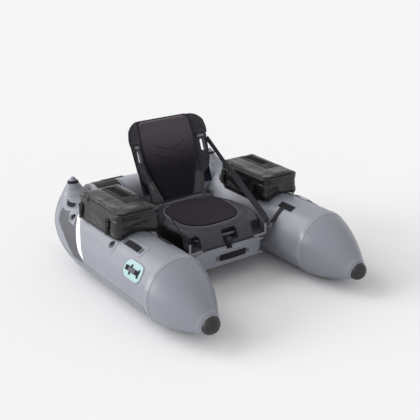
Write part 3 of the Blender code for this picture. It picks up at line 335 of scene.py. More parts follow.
finishes = {
    "hull": coatedPvc("coatedPvcGrey", "#83858f", "#8c8e98", (0.28, 0.4)),
    "patch": coatedPvc("coatedPvcPatch", "#888a94", "#92949d", (0.4, 0.55), 0.1),
    # a little lighter than the hull: partly painted highlight along the welded seams, besides the real gloss
    "tape": coatedPvc("coatedPvcTapeHighlight", "#8b8d97", "#95979f", (0.2, 0.3), 0.15),
    "lightPvc": coatedPvc("coatedPvcLight", "#a9aab3", "#b3b4bc", (0.4, 0.5), 0.2),
    "darkPvc": coatedPvc("coatedPvcDark", "#46474c", "#505157", (0.4, 0.52), 0.2),
    "whitePvc": coatedPvc("coatedPvcWhite", "#eceeec", "#f4f5f3", (0.4, 0.5), 0.1),
    "mintPvc": coatedPvc("coatedPvcMint", "#9dbdbe", "#a8c5c6", (0.36, 0.48), 0.1),
    "keel": coatedPvc("coatedPvcKeel", "#7f818b", "#898b94", (0.42, 0.56), 0.3),
    "rubber": mouldedPlastic("mouldedRubber", "#17181a", "#1f2022", 0.42),
    "blackPlastic": mouldedPlastic("mouldedNylonBlack", "#131416", "#1b1c1f", 0.42),
    "greyPlastic": mouldedPlastic("mouldedNylonGrey", "#7d7e82", "#8b8c91", 0.45),
    "webbing": wovenWebbing("polyesterWebbingBlack", "#121215", "#232328"),
    "strapWebbing": wovenWebbing("polyesterWebbingCharcoal", "#222226", "#3e3e44"),
    "greyWebbing": wovenWebbing("polyesterWebbingGrey", "#5a5a60", "#70707a"),
    "cover": wovenCloth("packClothGrey", "#3d3d41", "#5d5d63", 0.72, 1.6 * mm, 0.00015, 0.12, 0.0015),
    # near black: painted shade on the seat's side walls in the gaps beside the bags, over a dark cloth
    "sideCloth": wovenCloth("sideClothPaintedShade", "#0b0b0d", "#18181b", 0.8, 2.0 * mm, 0.0002, 0.03, 0.001),
    "mesh": wovenCloth("spacerMeshGrey", "#4a4a4d", "#6a6a6e", 0.75, 2.4 * mm, 0.0003, 0.12, 0.001),
    "hood": wovenCloth("meshClothBlack", "#2d2d31", "#525259", 0.78, 3.0 * mm, 0.0004, 0.12, 0.0012),
    "foam": wovenCloth("foamBackedCloth", "#272127", "#373037", 0.8, 1.2 * mm, 0.00008, sheen=0.06),
    "backFoam": topLighterFoam("foamBackedClothTopLighter", "#17131a", "#554e56"),
    "navy": wovenCloth("packClothNavy", "#101022", "#1c1c33", 0.72, 1.6 * mm, 0.00015, crease=0.0015),
    "rim": wovenCloth("edgeTapeGrey", "#77777e", "#919199", 0.7, 1.2 * mm, 0.0001),
    "tarp": tarpaulin("tarpaulinCharcoal", "#111114", "#1a1a1e"),
    "tarpDark": tarpaulin("tarpaulinBlack", "#09090b", "#111114", 0.002, 0.4, 0.1),
    "tarpFlat": tarpaulin("tarpaulinPanel", "#0e0e10", "#161619", 0.001, 0.5, 0.0),
    "hookTape": wovenCloth("hookTape", "#060607", "#121214", 0.95, 1.8 * mm, 0.0004, sheen=0.03),
    "zip": wovenWebbing("zipCoilNylon", "#0c0c0e", "#2a2a2e", 2.4 * mm),
    "steel": drawnMetal("platedWire", "#5a5b5f", 0.3),
    "aluminium": drawnMetal("drawnAluminium", "#5c5d61", 0.45),
}

print("scene: shared shaping")


def wear(piece, finish, body, replaces=()):
    # settles a finished piece: transforms into the mesh, a finish, a body to ride on and what it stands for
    activate(piece)
    bpy.ops.object.transform_apply(location=True, rotation=True, scale=True)
    if finish is not None:
        piece.data.materials.clear()
        piece.data.materials.append(finishes[finish])
    if body is not None:
        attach(piece, body)
    if replaces:
        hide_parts(replaces)


def useModifier(piece, kind, **settings):
    activate(piece)
    modifier = piece.modifiers.new(kind.lower(), kind)
    for name, value in settings.items():
        setattr(modifier, name, value)
    bpy.ops.object.modifier_apply(modifier=modifier.name)


def smooth(piece, degrees):
    activate(piece)
    bpy.ops.object.shade_smooth_by_angle(angle=math.radians(degrees))


def editMesh(piece, *steps):
    # runs edit mode operators on the whole mesh
    activate(piece)
    bpy.ops.object.mode_set(mode="EDIT")
    bpy.ops.mesh.select_all(action="SELECT")
    for step in steps:
        step()
    bpy.ops.object.mode_set(mode="OBJECT")


def mergeDoubles():
    bpy.ops.mesh.remove_doubles(threshold=0.00002)


def faceOut():
    bpy.ops.mesh.normals_make_consistent(inside=False)


def laidGrid(name, across, down, place, closed=False, metres=None):
    # a grid primitive whose vertices are laid by place(u, v); closed grids lose their seam and poles
    deselect()
    bpy.ops.mesh.primitive_grid_add(x_subdivisions=across, y_subdivisions=down, size=1, location=(0, 0, 0))
    piece = bpy.context.active_object
    piece.name = piece.data.name = name
    flat = np.zeros(len(piece.data.vertices) * 3)
    piece.data.vertices.foreach_get("co", flat)
    uv = np.clip(flat.reshape(-1, 3)[:, :2] + 0.5, 0, 1)
    piece.data.vertices.foreach_set("co", np.array([place(u, v) for u, v in uv], float).ravel())
    if metres is not None:
        # UV in metres, centred across, for webbing
        layer = piece.data.uv_layers.active.data
        for loop in piece.data.loops:
            u, v = uv[loop.vertex_index]
            layer[loop.index].uv = (u * metres[0], (v - 0.5) * metres[1])
    if closed:
        editMesh(piece, mergeDoubles, faceOut)
    return piece


def turnTo(piece, facing):
    # an open sheet is flipped where its middle looks away from a direction
    if piece.data.polygons[len(piece.data.polygons) // 2].normal.dot(facing) < 0:
        editMesh(piece, bpy.ops.mesh.flip_normals)


def sheetPiece(name, cells, place, facing, wall, degrees=50, offset=1, metres=None):
    # a laid sheet that faces a direction and has a wall
    piece = laidGrid(name, *cells, place, metres=metres)
    turnTo(piece, facing)
    useModifier(piece, "SOLIDIFY", thickness=wall, offset=offset)
    smooth(piece, degrees)
    return piece


def blockPiece(name, size, matrix, bevel=0.001, segments=2):
    deselect()
    bpy.ops.mesh.primitive_cube_add(size=1)
    piece = bpy.context.active_object
    piece.name = piece.data.name = name
    piece.matrix_world = matrix @ Matrix.Diagonal((*size, 1))
    bpy.ops.object.transform_apply(location=True, rotation=True, scale=True)
    useModifier(piece, "BEVEL", width=bevel, segments=segments)
    smooth(piece, 40)
    return piece


def cutHole(piece, size, matrix, corner, segments):
    # a rounded opening, whose walls take the hood's mesh
    cutter = blockPiece("cutter", size, matrix, corner, segments)
    cutter.data.materials.append(finishes["hood"])
    useModifier(piece, "BOOLEAN", operation="DIFFERENCE", object=cutter, solver="EXACT", material_mode="TRANSFER")
    bpy.data.objects.remove(cutter)


def cordPiece(name, points, radius, cyclic=False, roundness=2):
    # piping and wire: a curve that's made a mesh
    data = bpy.data.curves.new(name, "CURVE")
    data.dimensions = "3D"
    data.bevel_depth = radius
    data.bevel_resolution = roundness
    data.use_fill_caps = not cyclic
    line = data.splines.new("POLY")
    line.points.add(len(points) - 1)
    for point, place in zip(line.points, points):
        point.co = (*place, 1)
    line.use_cyclic_u = cyclic
    piece = bpy.data.objects.new(name, data)
    bpy.context.scene.collection.objects.link(piece)
    activate(piece)
    bpy.ops.object.convert(target="MESH")
    piece = bpy.context.active_object
    smooth(piece, 60)
    return piece


def strapPiece(name, points, across, width, wall, cells=(None, 6)):
    # flat webbing through points; across is one direction or one for each point
    points = [Vector(p) for p in points]
    lengths = [0.0]
    for a, b in zip(points, points[1:]):
        lengths.append(lengths[-1] + (b - a).length)

    def place(u, v):
        here = u * lengths[-1]
        i = max(0, min(len(points) - 2, int(np.searchsorted(lengths, here, side="right")) - 1))
        share = (here - lengths[i]) / max(1e-9, lengths[i + 1] - lengths[i])
        flat = across if isinstance(across, Vector) else across[i].lerp(across[i + 1], share)
        return points[i].lerp(points[i + 1], share) + flat.normalized() * width * (v - 0.5)

    steps = cells[0] or max(8, int(lengths[-1] / 0.006))
    piece = laidGrid(name, steps, cells[1], place, metres=(lengths[-1], width))
    useModifier(piece, "SOLIDIFY", thickness=wall, offset=0)
    smooth(piece, 50)
    return piece


def joinPieces(name, pieces):
    activate(*pieces)
    bpy.ops.object.join()
    made = bpy.context.active_object
    made.name = made.data.name = name
    return made


def dressedCopy(name, node, finish, body, slot, bevel=0, degrees=32):
    # a CAD node whose shape is right, merged and smoothed so that its facets don't show
    piece = frame["nodes"][node].copy()
    piece.data = piece.data.copy()
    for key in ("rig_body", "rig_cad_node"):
        if key in piece:
            del piece[key]
    piece.parent = None
    piece.name = piece.data.name = name
    bpy.context.scene.collection.objects.link(piece)
    activate(piece)
    if piece.data.has_custom_normals:
        bpy.ops.mesh.customdata_custom_splitnormals_clear()
    editMesh(piece, mergeDoubles)
    if bevel:
        useModifier(piece, "DECIMATE", decimate_type="DISSOLVE", angle_limit=math.radians(0.5))
        useModifier(piece, "BEVEL", width=bevel, segments=2, limit_method="ANGLE", angle_limit=math.radians(40))
    smooth(piece, degrees)
    wear(piece, finish, body, node)


def ringColumns(halfX, halfY, corner, count):
    # places round a rounded rectangle as (side or corner, share of it), evenly spaced
    runs = [2 * (halfY - corner), corner * math.pi / 2, 2 * (halfX - corner), corner * math.pi / 2] * 2
    ends = np.cumsum(runs)
    columns = []
    for i in range(count):
        here = ends[-1] * i / count
        run = int(np.searchsorted(ends, here, side="right"))
        columns.append((run, (here - (ends[run] - runs[run])) / runs[run]))
    return columns


def ringPlace(column, halfX, halfY, corner):
    # counter-clockwise, from the front end of the +X side
    run, share = column
    x, y = halfX - corner, halfY - corner
    if run % 2 == 0:
        starts = ((halfX, -y), (x, halfY), (-halfX, y), (-x, -halfY))
        ends = ((halfX, y), (-x, halfY), (-halfX, -y), (x, -halfY))
        (ax, ay), (bx, by) = starts[run // 2], ends[run // 2]
        return ax + (bx - ax) * share, ay + (by - ay) * share
    midX, midY = ((x, y), (-x, y), (-x, -y), (x, -y))[run // 2]
    turn = math.pi / 2 * (run // 2 + share)
    return midX + corner * math.cos(turn), midY + corner * math.sin(turn)


def roundedLoop(lowX, highX, lowY, highY, corner, steps):
    # places round a rounded rectangle, corner by corner
    middles = ((highX - corner, highY - corner), (lowX + corner, highY - corner),
               (lowX + corner, lowY + corner), (highX - corner, lowY + corner))
    for number, (midX, midY) in enumerate(middles):
        for degrees in np.linspace(90 * number, 90 * number + 90, steps):
            turn = math.radians(degrees)
            yield midX + corner * math.cos(turn), midY + corner * math.sin(turn)


def clamp(value):
    return min(1, max(0, value))


def softStep(value, low, high):
    share = clamp((value - low) / (high - low))
    return share * share * (3 - 2 * share)


def bell(value, middle, width):
    return math.exp(-((value - middle) / width) ** 2)


def tableValue(table, here, column=1):
    return float(np.interp(here, [row[0] for row in table], [row[column] for row in table]))


def softNoise(point, size, seed):
    return noise.noise(Vector(point) / size + Vector((seed, seed * 1.7, -seed)))


def ladderBuckle(name, matrix, wide, tall, thick):
    # two rails and three bars, as a moulded ladder-lock buckle has
    rail, bar = wide * 0.14, tall * 0.16
    parts = []
    for way in (-1, 1):
        place = matrix @ Matrix.Translation((way * (wide - rail) / 2, 0, 0))
        parts.append(blockPiece("rail", (rail, tall, thick), place, thick * 0.25))
    for share, lift in ((-0.42, 0), (0.06, 0.18), (0.42, 0)):
        place = matrix @ Matrix.Translation((0, share * tall, lift * thick))
        parts.append(blockPiece("bar", (wide - rail, bar, thick * 0.8), place, thick * 0.22))
    return joinPieces(name, parts)


print("scene: air tubes")

# Same sizes as the CAD's air tubes, in metres
tube = {
    "radius": 0.154, "spacing": 0.419, "seamY": -0.331, "straight": 0.597, "cone": 0.245, "nose": 0.043,
    "noseDrop": 0.052, "dropPower": 1.1, "noseLean": 10.8, "conePower": 1.577, "midZ": 0.15475,
    "tailReach": 0.275, "tailOver": 0.003, "tailRise": 0.226, "tailToe": 0.006, "tailTip": 0.021, "tailPower": 1.756,
    "tailRound": 0.62, "tailCone": 0.012, "tailSlope": 0.68, "tailBlend": 0.004, "tailCrowd": 1.35, "tailBulge": 0.006,
    "coneRings": 48, "straightRings": 40, "tailRings": 72, "around": 112,
}


def tubeTable():
    # rows of (y, z, toe, lean, radius, length behind the front seam), from the nose to the tail's tip
    seamY, midZ, straight = tube["seamY"], tube["midZ"], tube["straight"]
    reach, rise, over, tip = (tube[k] for k in ("tailReach", "tailRise", "tailOver", "tailTip"))
    rows = []
    for i in range(tube["coneRings"] + 1):
        s = 1 - i / tube["coneRings"]
        radius = tube["nose"] + (tube["radius"] - tube["nose"]) * (1 - s ** tube["conePower"])
        drop = tube["noseDrop"] * s ** tube["dropPower"]
        rows.append((seamY - tube["cone"] * s, midZ - drop, 0, math.radians(tube["noseLean"]) * s, radius))
    for i in range(1, tube["straightRings"]):
        rows.append((seamY + straight * i / tube["straightRings"], midZ, 0, 0, tube["radius"]))
    for i in range(tube["tailRings"] + 1):
        s = 1 - (1 - i / tube["tailRings"]) ** tube["tailCrowd"]
        y = seamY + straight + 2 * s * (1 - s) * reach + s * s * (reach + over)
        lean = math.atan2(2 * s * rise, 2 * (1 - s) * reach + 2 * s * over)
        taper = max(0, 1 - s ** tube["tailPower"]) ** tube["tailRound"]
        rows.append((y, midZ + s * s * rise, -s * s * tube["tailToe"], lean, tip + (tube["radius"] - tip) * taper))
    rows = np.array(rows)
    lengths = np.concatenate([[0], np.cumsum(np.hypot(np.diff(rows[:, 0]), np.diff(rows[:, 1])))])
    # the last hand's breadth is a cone, more pointed than the CAD's round end
    cone = tube["tailCone"] + tube["tailSlope"] * (lengths[-1] - lengths)
    blend = tube["tailBlend"]
    rows[:, 4] = -blend * np.logaddexp(-rows[:, 4] / blend, -cone / blend)
    return np.column_stack([rows, lengths - lengths[tube["coneRings"]]])


tubeRows = tubeTable()
noseLength, tailLength = tubeRows[0, 5], tubeRows[-1, 5]


def ringAt(length):
    return [float(np.interp(length, tubeRows[:, 5], tubeRows[:, k])) for k in range(5)]


def hullOut(side, length, degrees):
    # degrees run from the top of the tube, 0, down its outer side
    lean, turn = ringAt(length)[3], math.radians(degrees)
    return Vector((side * math.sin(turn), -math.cos(turn) * math.sin(lean), math.cos(turn) * math.cos(lean)))


def hullPoint(side, length, degrees, lift=0.0, share=1.0):
    y, z, toe, lean, radius = ringAt(length)
    return Vector((side * (tube["spacing"] + toe), y, z)) + hullOut(side, length, degrees) * (radius * share + lift)


def hullFrame(side, length, degrees, lift):
    # X runs down the tube's side, Y towards the tail, Z out of the tube
    lean, turn = ringAt(length)[3], math.radians(degrees)
    out = hullOut(side, length, degrees)
    down = Vector((side * math.cos(turn), math.sin(turn) * math.sin(lean), -math.sin(turn) * math.cos(lean)))
    return frameFrom(down, out.cross(down), out, hullPoint(side, length, degrees, lift))


def makeHull(side, word):
    # the skin from the nose to the tail, with its ends closed by rows of smaller rings
    stations = [(noseLength, 0), (noseLength, 0.5)] + [(length, 1) for length in tubeRows[:, 5]]
    stations += [(tailLength, share) for share in (0.92, 0.7, 0.4, 0)]
    last = len(stations) - 1

    def place(u, v):
        length, share = stations[round(u * last)]
        bulge = tube["tailBulge"] * math.sqrt(max(0, 1 - share * share)) if length == tailLength else 0
        lean = ringAt(length)[3]
        return hullPoint(side, length, 360 * v, 0, share) + Vector((0, math.cos(lean), math.sin(lean))) * bulge

    piece = laidGrid(f"airTube_{word}", last, tube["around"], place, closed=True)
    smooth(piece, 60)
    wear(piece, "hull", "hull", f"pontoon_{word}")


def hullSheet(name, side, cells, spot, lift, wall, finish, replaces=()):
    # a glued or printed sheet on a tube: spot(u, v) gives its length and angle
    piece = sheetPiece(name, cells, lambda u, v: hullPoint(side, *spot(u, v), lift), hullOut(side, *spot(0.5, 0.5)), wall)
    wear(piece, finish, "hull", replaces)


def roundedSpot(length, degrees, long, wide, corner):
    # a rounded patch, its rows crowded towards the corners
    radius = ringAt(length)[4]

    def spot(u, v):
        y = -math.cos(math.pi * v) * wide / 2
        over = max(0, abs(y) - (wide / 2 - corner))
        cutIn = corner - math.sqrt(max(0, corner ** 2 - over ** 2))
        return length + (u - 0.5) * (long - 2 * cutIn), degrees + math.degrees(y / radius)

    return spot


def quadSpot(corners, rounding=0.12):
    # a sheet between four (length, degrees) corners, its corners rounded
    def spot(u, v):
        s, t = 2 * u - 1, 2 * v - 1
        s, t = s * math.sqrt(1 - rounding * t * t / 2), t * math.sqrt(1 - rounding * s * s / 2)
        a, b = (s + 1) / 2, (t + 1) / 2
        shares = ((1 - a) * (1 - b), a * (1 - b), (1 - a) * b, a * b)
        return tuple(sum(share * corner[k] for share, corner in zip(shares, corners)) for k in (0, 1))

    return spot


def tableSpot(frontTable, rearTable):
    # a printed shape whose front and rear edges run by angle
    low, high = frontTable[0][0], frontTable[-1][0]

    def spot(u, v):
        degrees = low + (high - low) * v
        front = tableValue(frontTable, degrees)
        return front + (tableValue(rearTable, degrees) - front) * u, degrees

    return spot


# length from the front seam by angle, for the printed bands
paint = {
    "lift": 0.0002, "wall": 0.0002,
    "stripe": (((34, 0.645), (47, 0.595), (54, 0.575), (61, 0.555), (68, 0.540), (79, 0.522), (90, 0.507), (98, 0.501)),
               ((34, 0.685), (47, 0.635), (54, 0.615), (61, 0.595), (68, 0.580), (79, 0.560), (90, 0.540), (98, 0.507))),
    "dark": (((42, 0.655), (47, 0.637), (54, 0.617), (61, 0.597), (68, 0.582), (79, 0.562), (90, 0.545), (106, 0.509)),
             ((42, 0.785), (52, 0.826), (62, 0.867), (66, 0.862), (77, 0.800), (79, 0.711), (88, 0.655), (106, 0.600))),
}
keel = {"front": 0.012, "rear": 0.925, "angle": 106.875, "lift": 0.0003, "wall": 0.0012}
# what is glued on the tubes: (length, degrees, long, wide), and four (length, degrees) corners where it lies aslant
trim = {
    "patchLift": 0.0003, "patchWall": 0.0012, "patchCorner": 0.012, "rearPatch": 1.75, "patchBeyond": 0.072,
    "handleFront": (0.205, 27.5, 0.098, 0.062), "handleRear": (0.857, 39, 0.066, 0.050),
    "handleWidth": 0.028, "handleWall": 0.0016, "handleLift": 0.0018, "handleRise": 0.0045,
    "handleEnds": (("Fore", -0.22), ("Aft", 1.02)), "handleEndLong": 0.2,
    "ringFront": (0.320, 42.5, 0.058, 0.064), "ringRear": (0.700, 43, 0.110, 0.064),
    "rearWeb": ((0.871, 49.2), (0.800, 32.5), (0.902, 47.5), (0.854, 26.8)),
    "rearQuad": ((0.635, 53.8), (0.703, 31), (0.709, 54.6), (0.774, 42.6)),
    "ringWire": 0.0019, "ringHalf": 0.0125, "ringDepth": 0.021, "ringLift": 0.0048,
    "tabFoot": ((0.012, -0.0030), (0.006, -0.0028)), "tabWidth": 0.016, "tabWall": 0.0012,
    "tapes": (("Front", -0.024, 0.002, 0.0012), ("Nose", noseLength + 0.010, noseLength + 0.022, 0.0004),
              ("Tail", 0.925, 0.950, 0.0004)), "tapeSink": 0.0006, "tapeWall": 0.0014,
}


def makeTapes(side, word):
    # welded overlap tapes round the tube at its front seam, at the cap and on the tail
    for label, front, rear, lift in trim["tapes"]:
        def place(u, v):
            edge = min(1, min(u, 1 - u) * 12)
            height = (lift + trim["tapeWall"]) * edge - trim["tapeSink"]
            return hullPoint(side, front + (rear - front) * u, 360 * v, height)

        piece = laidGrid(f"weldTape{label}_{word}", 24, tube["around"], place)
        editMesh(piece, mergeDoubles)
        turnTo(piece, hullOut(side, front, 180))
        smooth(piece, 25)
        wear(piece, "tape", "hull")


def makeRing(side, word, end):
    length, degrees, long, wide = trim["ring" + end]
    rear = end == "Rear"
    lay = quadSpot(trim["rearQuad"]) if rear else roundedSpot(length, degrees, long, wide, trim["patchCorner"])
    hullSheet(f"ringPatch{end}_{word}", side, (16, 24), lay, trim["patchLift"], trim["patchWall"], "patch",
              f"ring_patch_{end.lower()}_{word}")
    # the webbing tab lies flat at both ends and loops over the wire
    spot = hullFrame(side, length, degrees, trim["ringLift"])
    inner = trim["ringWire"] + 0.0003
    foot = [*trim["tabFoot"], (inner + 0.0012, -0.001)]
    loop = [(-x, z) for x, z in foot]
    loop += [(-(inner + 0.0006) * math.cos(t), (inner + 0.0006) * math.sin(t)) for t in np.linspace(0.1, math.pi - 0.1, 10)]
    points = [spot @ Vector((x, 0, z)) for x, z in loop + foot[::-1]]
    tab = strapPiece(f"ringTab{end}_{word}", points, spot.to_3x3() @ axisY, trim["tabWidth"], trim["tabWall"])
    wear(tab, "webbing", "hull")
    half = trim["ringHalf"]
    bow = [(trim["ringDepth"] * math.cos(t), half * math.sin(t)) for t in np.linspace(math.pi / 2, -math.pi / 2, 26)]
    bow += [(0, y) for y in np.linspace(-half, half, 8)[1:-1]]
    wire = cordPiece(f"dRing{end}_{word}", [spot @ Vector((x, y, 0)) for x, y in bow], trim["ringWire"], True, 3)
    wear(wire, "steel", f"ring_{end.lower()}_{word}", f"d_ring_{end.lower()}_{word}")


def makeHandle(side, word, end):
    length, degrees, long, wide = trim["handle" + end]
    if end == "Rear":
        # the rear handle lies aslant, and its patch is the webbing's shape grown about its middle
        corners, grow = trim["rearWeb"], trim["rearPatch"]
        middle = [sum(corner[k] for corner in corners) / 4 for k in (0, 1)]
        lay = quadSpot([[middle[k] + grow * (corner[k] - middle[k]) for k in (0, 1)] for corner in corners])
        web = quadSpot(corners, 0)
    else:
        lay = roundedSpot(length, degrees, long + trim["patchBeyond"], wide, trim["patchCorner"])
        web = roundedSpot(length, degrees, long, trim["handleWidth"], 0.0001)
    hullSheet(f"handlePatch{end}_{word}", side, (24, 20), lay, trim["patchLift"], trim["patchWall"], "patch",
              f"handle_patch_{end.lower()}_{word}")

    # the webbing stands a little off the patch at its middle, sewn and welded down at both ends
    def place(u, v):
        return hullPoint(side, *web(u, v), trim["handleLift"] + trim["handleRise"] * math.sin(math.pi * u) ** 0.7)

    piece = sheetPiece(f"handleWebbing{end}_{word}", (30, 6), place, hullOut(side, length, degrees), trim["handleWall"],
                       metres=(long, trim["handleWidth"]))
    wear(piece, "webbing", "hull", f"handle_{end.lower()}_{word}")
    # stitched ends of grey webbing
    for tip, first in trim["handleEnds"]:
        hullSheet(f"handleEnd{end}{tip}_{word}", side, (6, 6), lambda u, v: web(first + trim["handleEndLong"] * u, v),
                  0.0016, 0.0009, "greyWebbing")


for side, word in sides:
    makeHull(side, word)
    makeTapes(side, word)
    hullSheet(f"keelSkin_{word}", side, (120, 60), lambda u, v: (keel["front"] + (keel["rear"] - keel["front"]) * u,
                                                                 keel["angle"] + (360 - 2 * keel["angle"]) * v),
              keel["lift"], keel["wall"], "keel", f"keel_skin_{word}")
    for name, cells, shape, finish in (("whiteStripe", 8, "stripe", "whitePvc"), ("darkBand", 30, "dark", "darkPvc")):
        hullSheet(f"{name}_{word}", side, (cells, 60), tableSpot(*paint[shape]), paint["lift"], paint["wall"], finish)
    for end in ("Front", "Rear"):
        makeRing(side, word, end)
        makeHandle(side, word, end)
    dressedCopy(f"noseCap_{word}", f"nose_cap_{word}", "rubber", "hull", "rubber_cap", degrees=45)

print("scene: bags")

# Both bags are the same: local x runs across the craft, y is the craft's own
bag = {
    "midX": 0.4085, "midY": 0.127, "halfX": 0.1085, "halfY": 0.175, "corner": 0.034, "columns": 168,
    "bottom": 0.288, "rim": 0.3738, "skirt": 0.3747, "top": 0.4125, "wall": 0.003, "sag": 0.0042, "off": 0.0036,
    "panel": (-0.010, 0.074, 0.055, 0.270), "hook": (0.014, 0.056, 0.118, 0.256), "middle": 0.1080,
    "creases": ((-0.095, -0.150, 62, 0.16), (-0.070, -0.165, 78, 0.10), (0.085, -0.160, 118, 0.09), (0.0, 0.165, -70, 0.08)),
    "zipRear": 0.262, "zipEndX": 0.07, "zipInset": 0.0065, "zipTape": 0.011, "zipCoil": 0.0042,
}
# the harness: a sheet under the bag, straps up its long sides, and what they run through as (x out, z)
harness = {
    "front": 0.072, "rear": 0.028, "angles": (-45, 34), "strapY": (0.032, 0.262), "width": 0.020, "out": 0.0042,
    "line": ((-0.0012, 0.3705), (0, 0.362), (0.0016, 0.345), (0.0012, 0.320), (0, 0.300), (-0.003, 0.290)),
    "tail": ((0.006, 0, 0.343), (0.008, 0.001, 0.330), (0.0065, 0.002, 0.312), (0.009, 0.003, 0.296)),
    "buckle": (0.027, 0.030, 0.0055), "buckleZ": 0.350,
}
bagColumns = ringColumns(bag["halfX"], bag["halfY"], bag["corner"], bag["columns"])


def saddleHeight(side, x, lift):
    # the tube's skin under the bag, or far below where the bag overhangs it
    offset = x - side * tube["spacing"]
    reach = tube["radius"] + lift
    return tube["midZ"] + math.sqrt(reach * reach - offset * offset) if abs(offset) < reach else 0


def bagRing(column, inset):
    return ringPlace(column, bag["halfX"] - inset, bag["halfY"] - inset, max(0.004, bag["corner"] - inset))


def bagDirection(column):
    # outwards from the outline at a column
    run, share = column
    if run % 2 == 0:
        return ((1, 0), (0, 1), (-1, 0), (0, -1))[run // 2]
    turn = math.pi / 2 * (run // 2 + share)
    return math.cos(turn), math.sin(turn)


def bagPlace(side, column, inset, push, z):
    # a place on the bag's outline, pushed outwards
    x, y = bagRing(column, inset)
    outX, outY = bagDirection(column)
    return side * bag["midX"] + x + outX * push, bag["midY"] + y + outY * push, z


def wallPush(side, x, y, z):
    # how far the full, soft wall stands out from a straight one
    share = (z - bag["bottom"]) / (bag["top"] - bag["bottom"])
    belly = bag["sag"] * math.sin(math.pi * clamp(share) ** 0.8)
    dents = 0.0034 * softNoise((x + side, y, z), 0.062, 3.1) + 0.0016 * softNoise((x + side, y, z * 2.2), 0.028, 7.7)
    # the front wall is slack: it hollows over the middle and swells at its lower corners
    front = softStep(-y, bag["halfY"] - 0.03, bag["halfY"] - 0.005)
    hollow = bell(x, 0.02, 0.05) * bell(z, 0.345, 0.022)
    swell = bell(abs(x), 0.085, 0.03) * bell(z, 0.312, 0.020)
    return belly + dents + front * (0.0055 * swell - 0.0050 * hollow)


def lidHeight(side, x, y):
    # the slack top: a low crown, a few dents, and a fall at its sewn edge
    inner = min(bag["halfX"] - abs(x), bag["halfY"] - abs(y))
    edge = 0.0135 * max(0, 1 - inner / 0.030) ** 2
    crown = 0.0030 * math.cos(math.pi / 2 * x / bag["halfX"]) * math.cos(math.pi / 2 * y / bag["halfY"])
    dents = 0.0034 * softNoise((x * 1.3 + side, y * 0.8, 0), 0.055, 5.3) + 0.0012 * softNoise((x + side, y, 0), 0.022, 9.1)
    # the front corner is drawn down, and the middle of the front edge and of the outer side a little
    corner = 0.006 * math.exp(-((x + 0.07) ** 2 + (y + 0.140) ** 2) / 0.0008)
    corner -= 0.003 * math.exp(-((x - 0.01) ** 2 / 0.002 + (y + 0.145) ** 2 / 0.0004))
    hollow = 0.0045 * math.exp(-((x + 0.055) ** 2 / 0.0006 + (y + 0.02) ** 2 / 0.004))
    # long creases run in from the corners, each from its start at an angle over its length
    crease = 0
    for startX, startY, degrees, length in bag["creases"]:
        cos, sin = math.cos(math.radians(degrees)), math.sin(math.radians(degrees))
        along = (x - startX) * cos + (y - startY) * sin
        aside = (y - startY) * cos - (x - startX) * sin
        fade = max(0, 1 - abs(2 * along / length - 1))
        crease += fade * (0.0028 * bell(aside, 0.006, 0.005) - 0.0034 * bell(aside, 0, 0.0045))
    return bag["top"] - 0.002 + crown - edge + (dents + crease - corner - hollow) * clamp(inner / 0.02)


def laidRings(name, rows, finish, body, replaces):
    # each row is a function that lays one column; the first and the last row close the form
    last = len(rows) - 1

    def place(u, v):
        return rows[round(v * last)](bagColumns[round(u * bag["columns"]) % bag["columns"]])

    piece = laidGrid(name, bag["columns"], last, place, closed=True)
    smooth(piece, 50)
    wear(piece, finish, body, replaces)


def tubRow(side, inset, share, inside=False):
    # share runs from the rim, 0, to the bottom edge, 1, which lies on the tube
    def row(column):
        x, y = bagRing(column, inset)
        bottom = max(bag["bottom"], saddleHeight(side, side * bag["midX"] + x, bag["off"])) + (0.0028 if inside else 0)
        z = bag["rim"] + (bottom - bag["rim"]) * share
        push = 0 if inset > 0.02 else wallPush(side, x, y, z) * min(1, 4 * share)
        return bagPlace(side, column, inset, push * (1 if share < 0.9 else 0.3), z)
    return row


def makeTub(side, word):
    wall = bag["wall"]
    inside = [(bag["middle"], 1), (0.085, 1), (0.05, 1), (0.025, 1), (wall + 0.006, 1), (wall + 0.001, 0.93)]
    inside += [(wall, share) for share in (0.8, 0.6, 0.4, 0.2, 0.03)]
    outside = [(wall / 2, 0)] + [(0, i / 12 * 0.90 + 0.015) for i in range(13)] + [(0.0012, 0.955), (0.005, 0.99)]
    outside += [(inset, 1) for inset in (0.010, 0.02, 0.032, 0.045, 0.06, 0.075, 0.09, bag["middle"])]
    rows = [tubRow(side, *row, True) for row in inside] + [tubRow(side, *row) for row in outside]
    laidRings(f"bagTub_{word}", rows, "tarp", "hull", f"bag_tub_{word}")


def lidTopRow(side, inset, drop=0):
    return lambda column: bagPlace(side, column, inset, 0, lidHeight(side, *bagRing(column, inset)) - drop)


def lidSideRow(side, inset, height):
    def row(column):
        x, y = bagRing(column, inset)
        soft = 0.0014 * softNoise((x + side, y, height), 0.05, 2.2) * min(1, (height - bag["skirt"]) / 0.01)
        return bagPlace(side, column, inset, 0.0018 + soft if inset < 0.002 else 0, height)
    return row


def makeLid(side, word):
    low, top = bag["skirt"], bag["top"]
    rows = [lidTopRow(side, inset, 0.0035) for inset in (bag["middle"], 0.08, 0.05, 0.03, 0.012)]
    rows += [lidSideRow(side, bag["wall"] + 0.0015, height) for height in (top - 0.019, top - 0.026, low + 0.005, low)]
    rows += [lidSideRow(side, -0.0006, height)
             for height in (low, low + 0.002, low + 0.006, low + 0.011, low + 0.015, top - 0.0185)]
    # the edge is piped: a bead that stands out, then the sewn top
    rows += [lidSideRow(side, inset, top - drop) for inset, drop in ((-0.0021, 0.0170), (-0.0016, 0.0152), (0.0004, 0.0148))]
    rows += [lidTopRow(side, inset) for inset in (0.0022, 0.005, 0.0085, 0.0125, 0.017, 0.022, 0.0275, 0.034, 0.041,
                                                  0.049, 0.058, 0.068, 0.079, 0.091, bag["middle"])]
    laidRings(f"bagLid_{word}", rows, "tarp", f"lid_{word}", f"bag_lid_{word}")


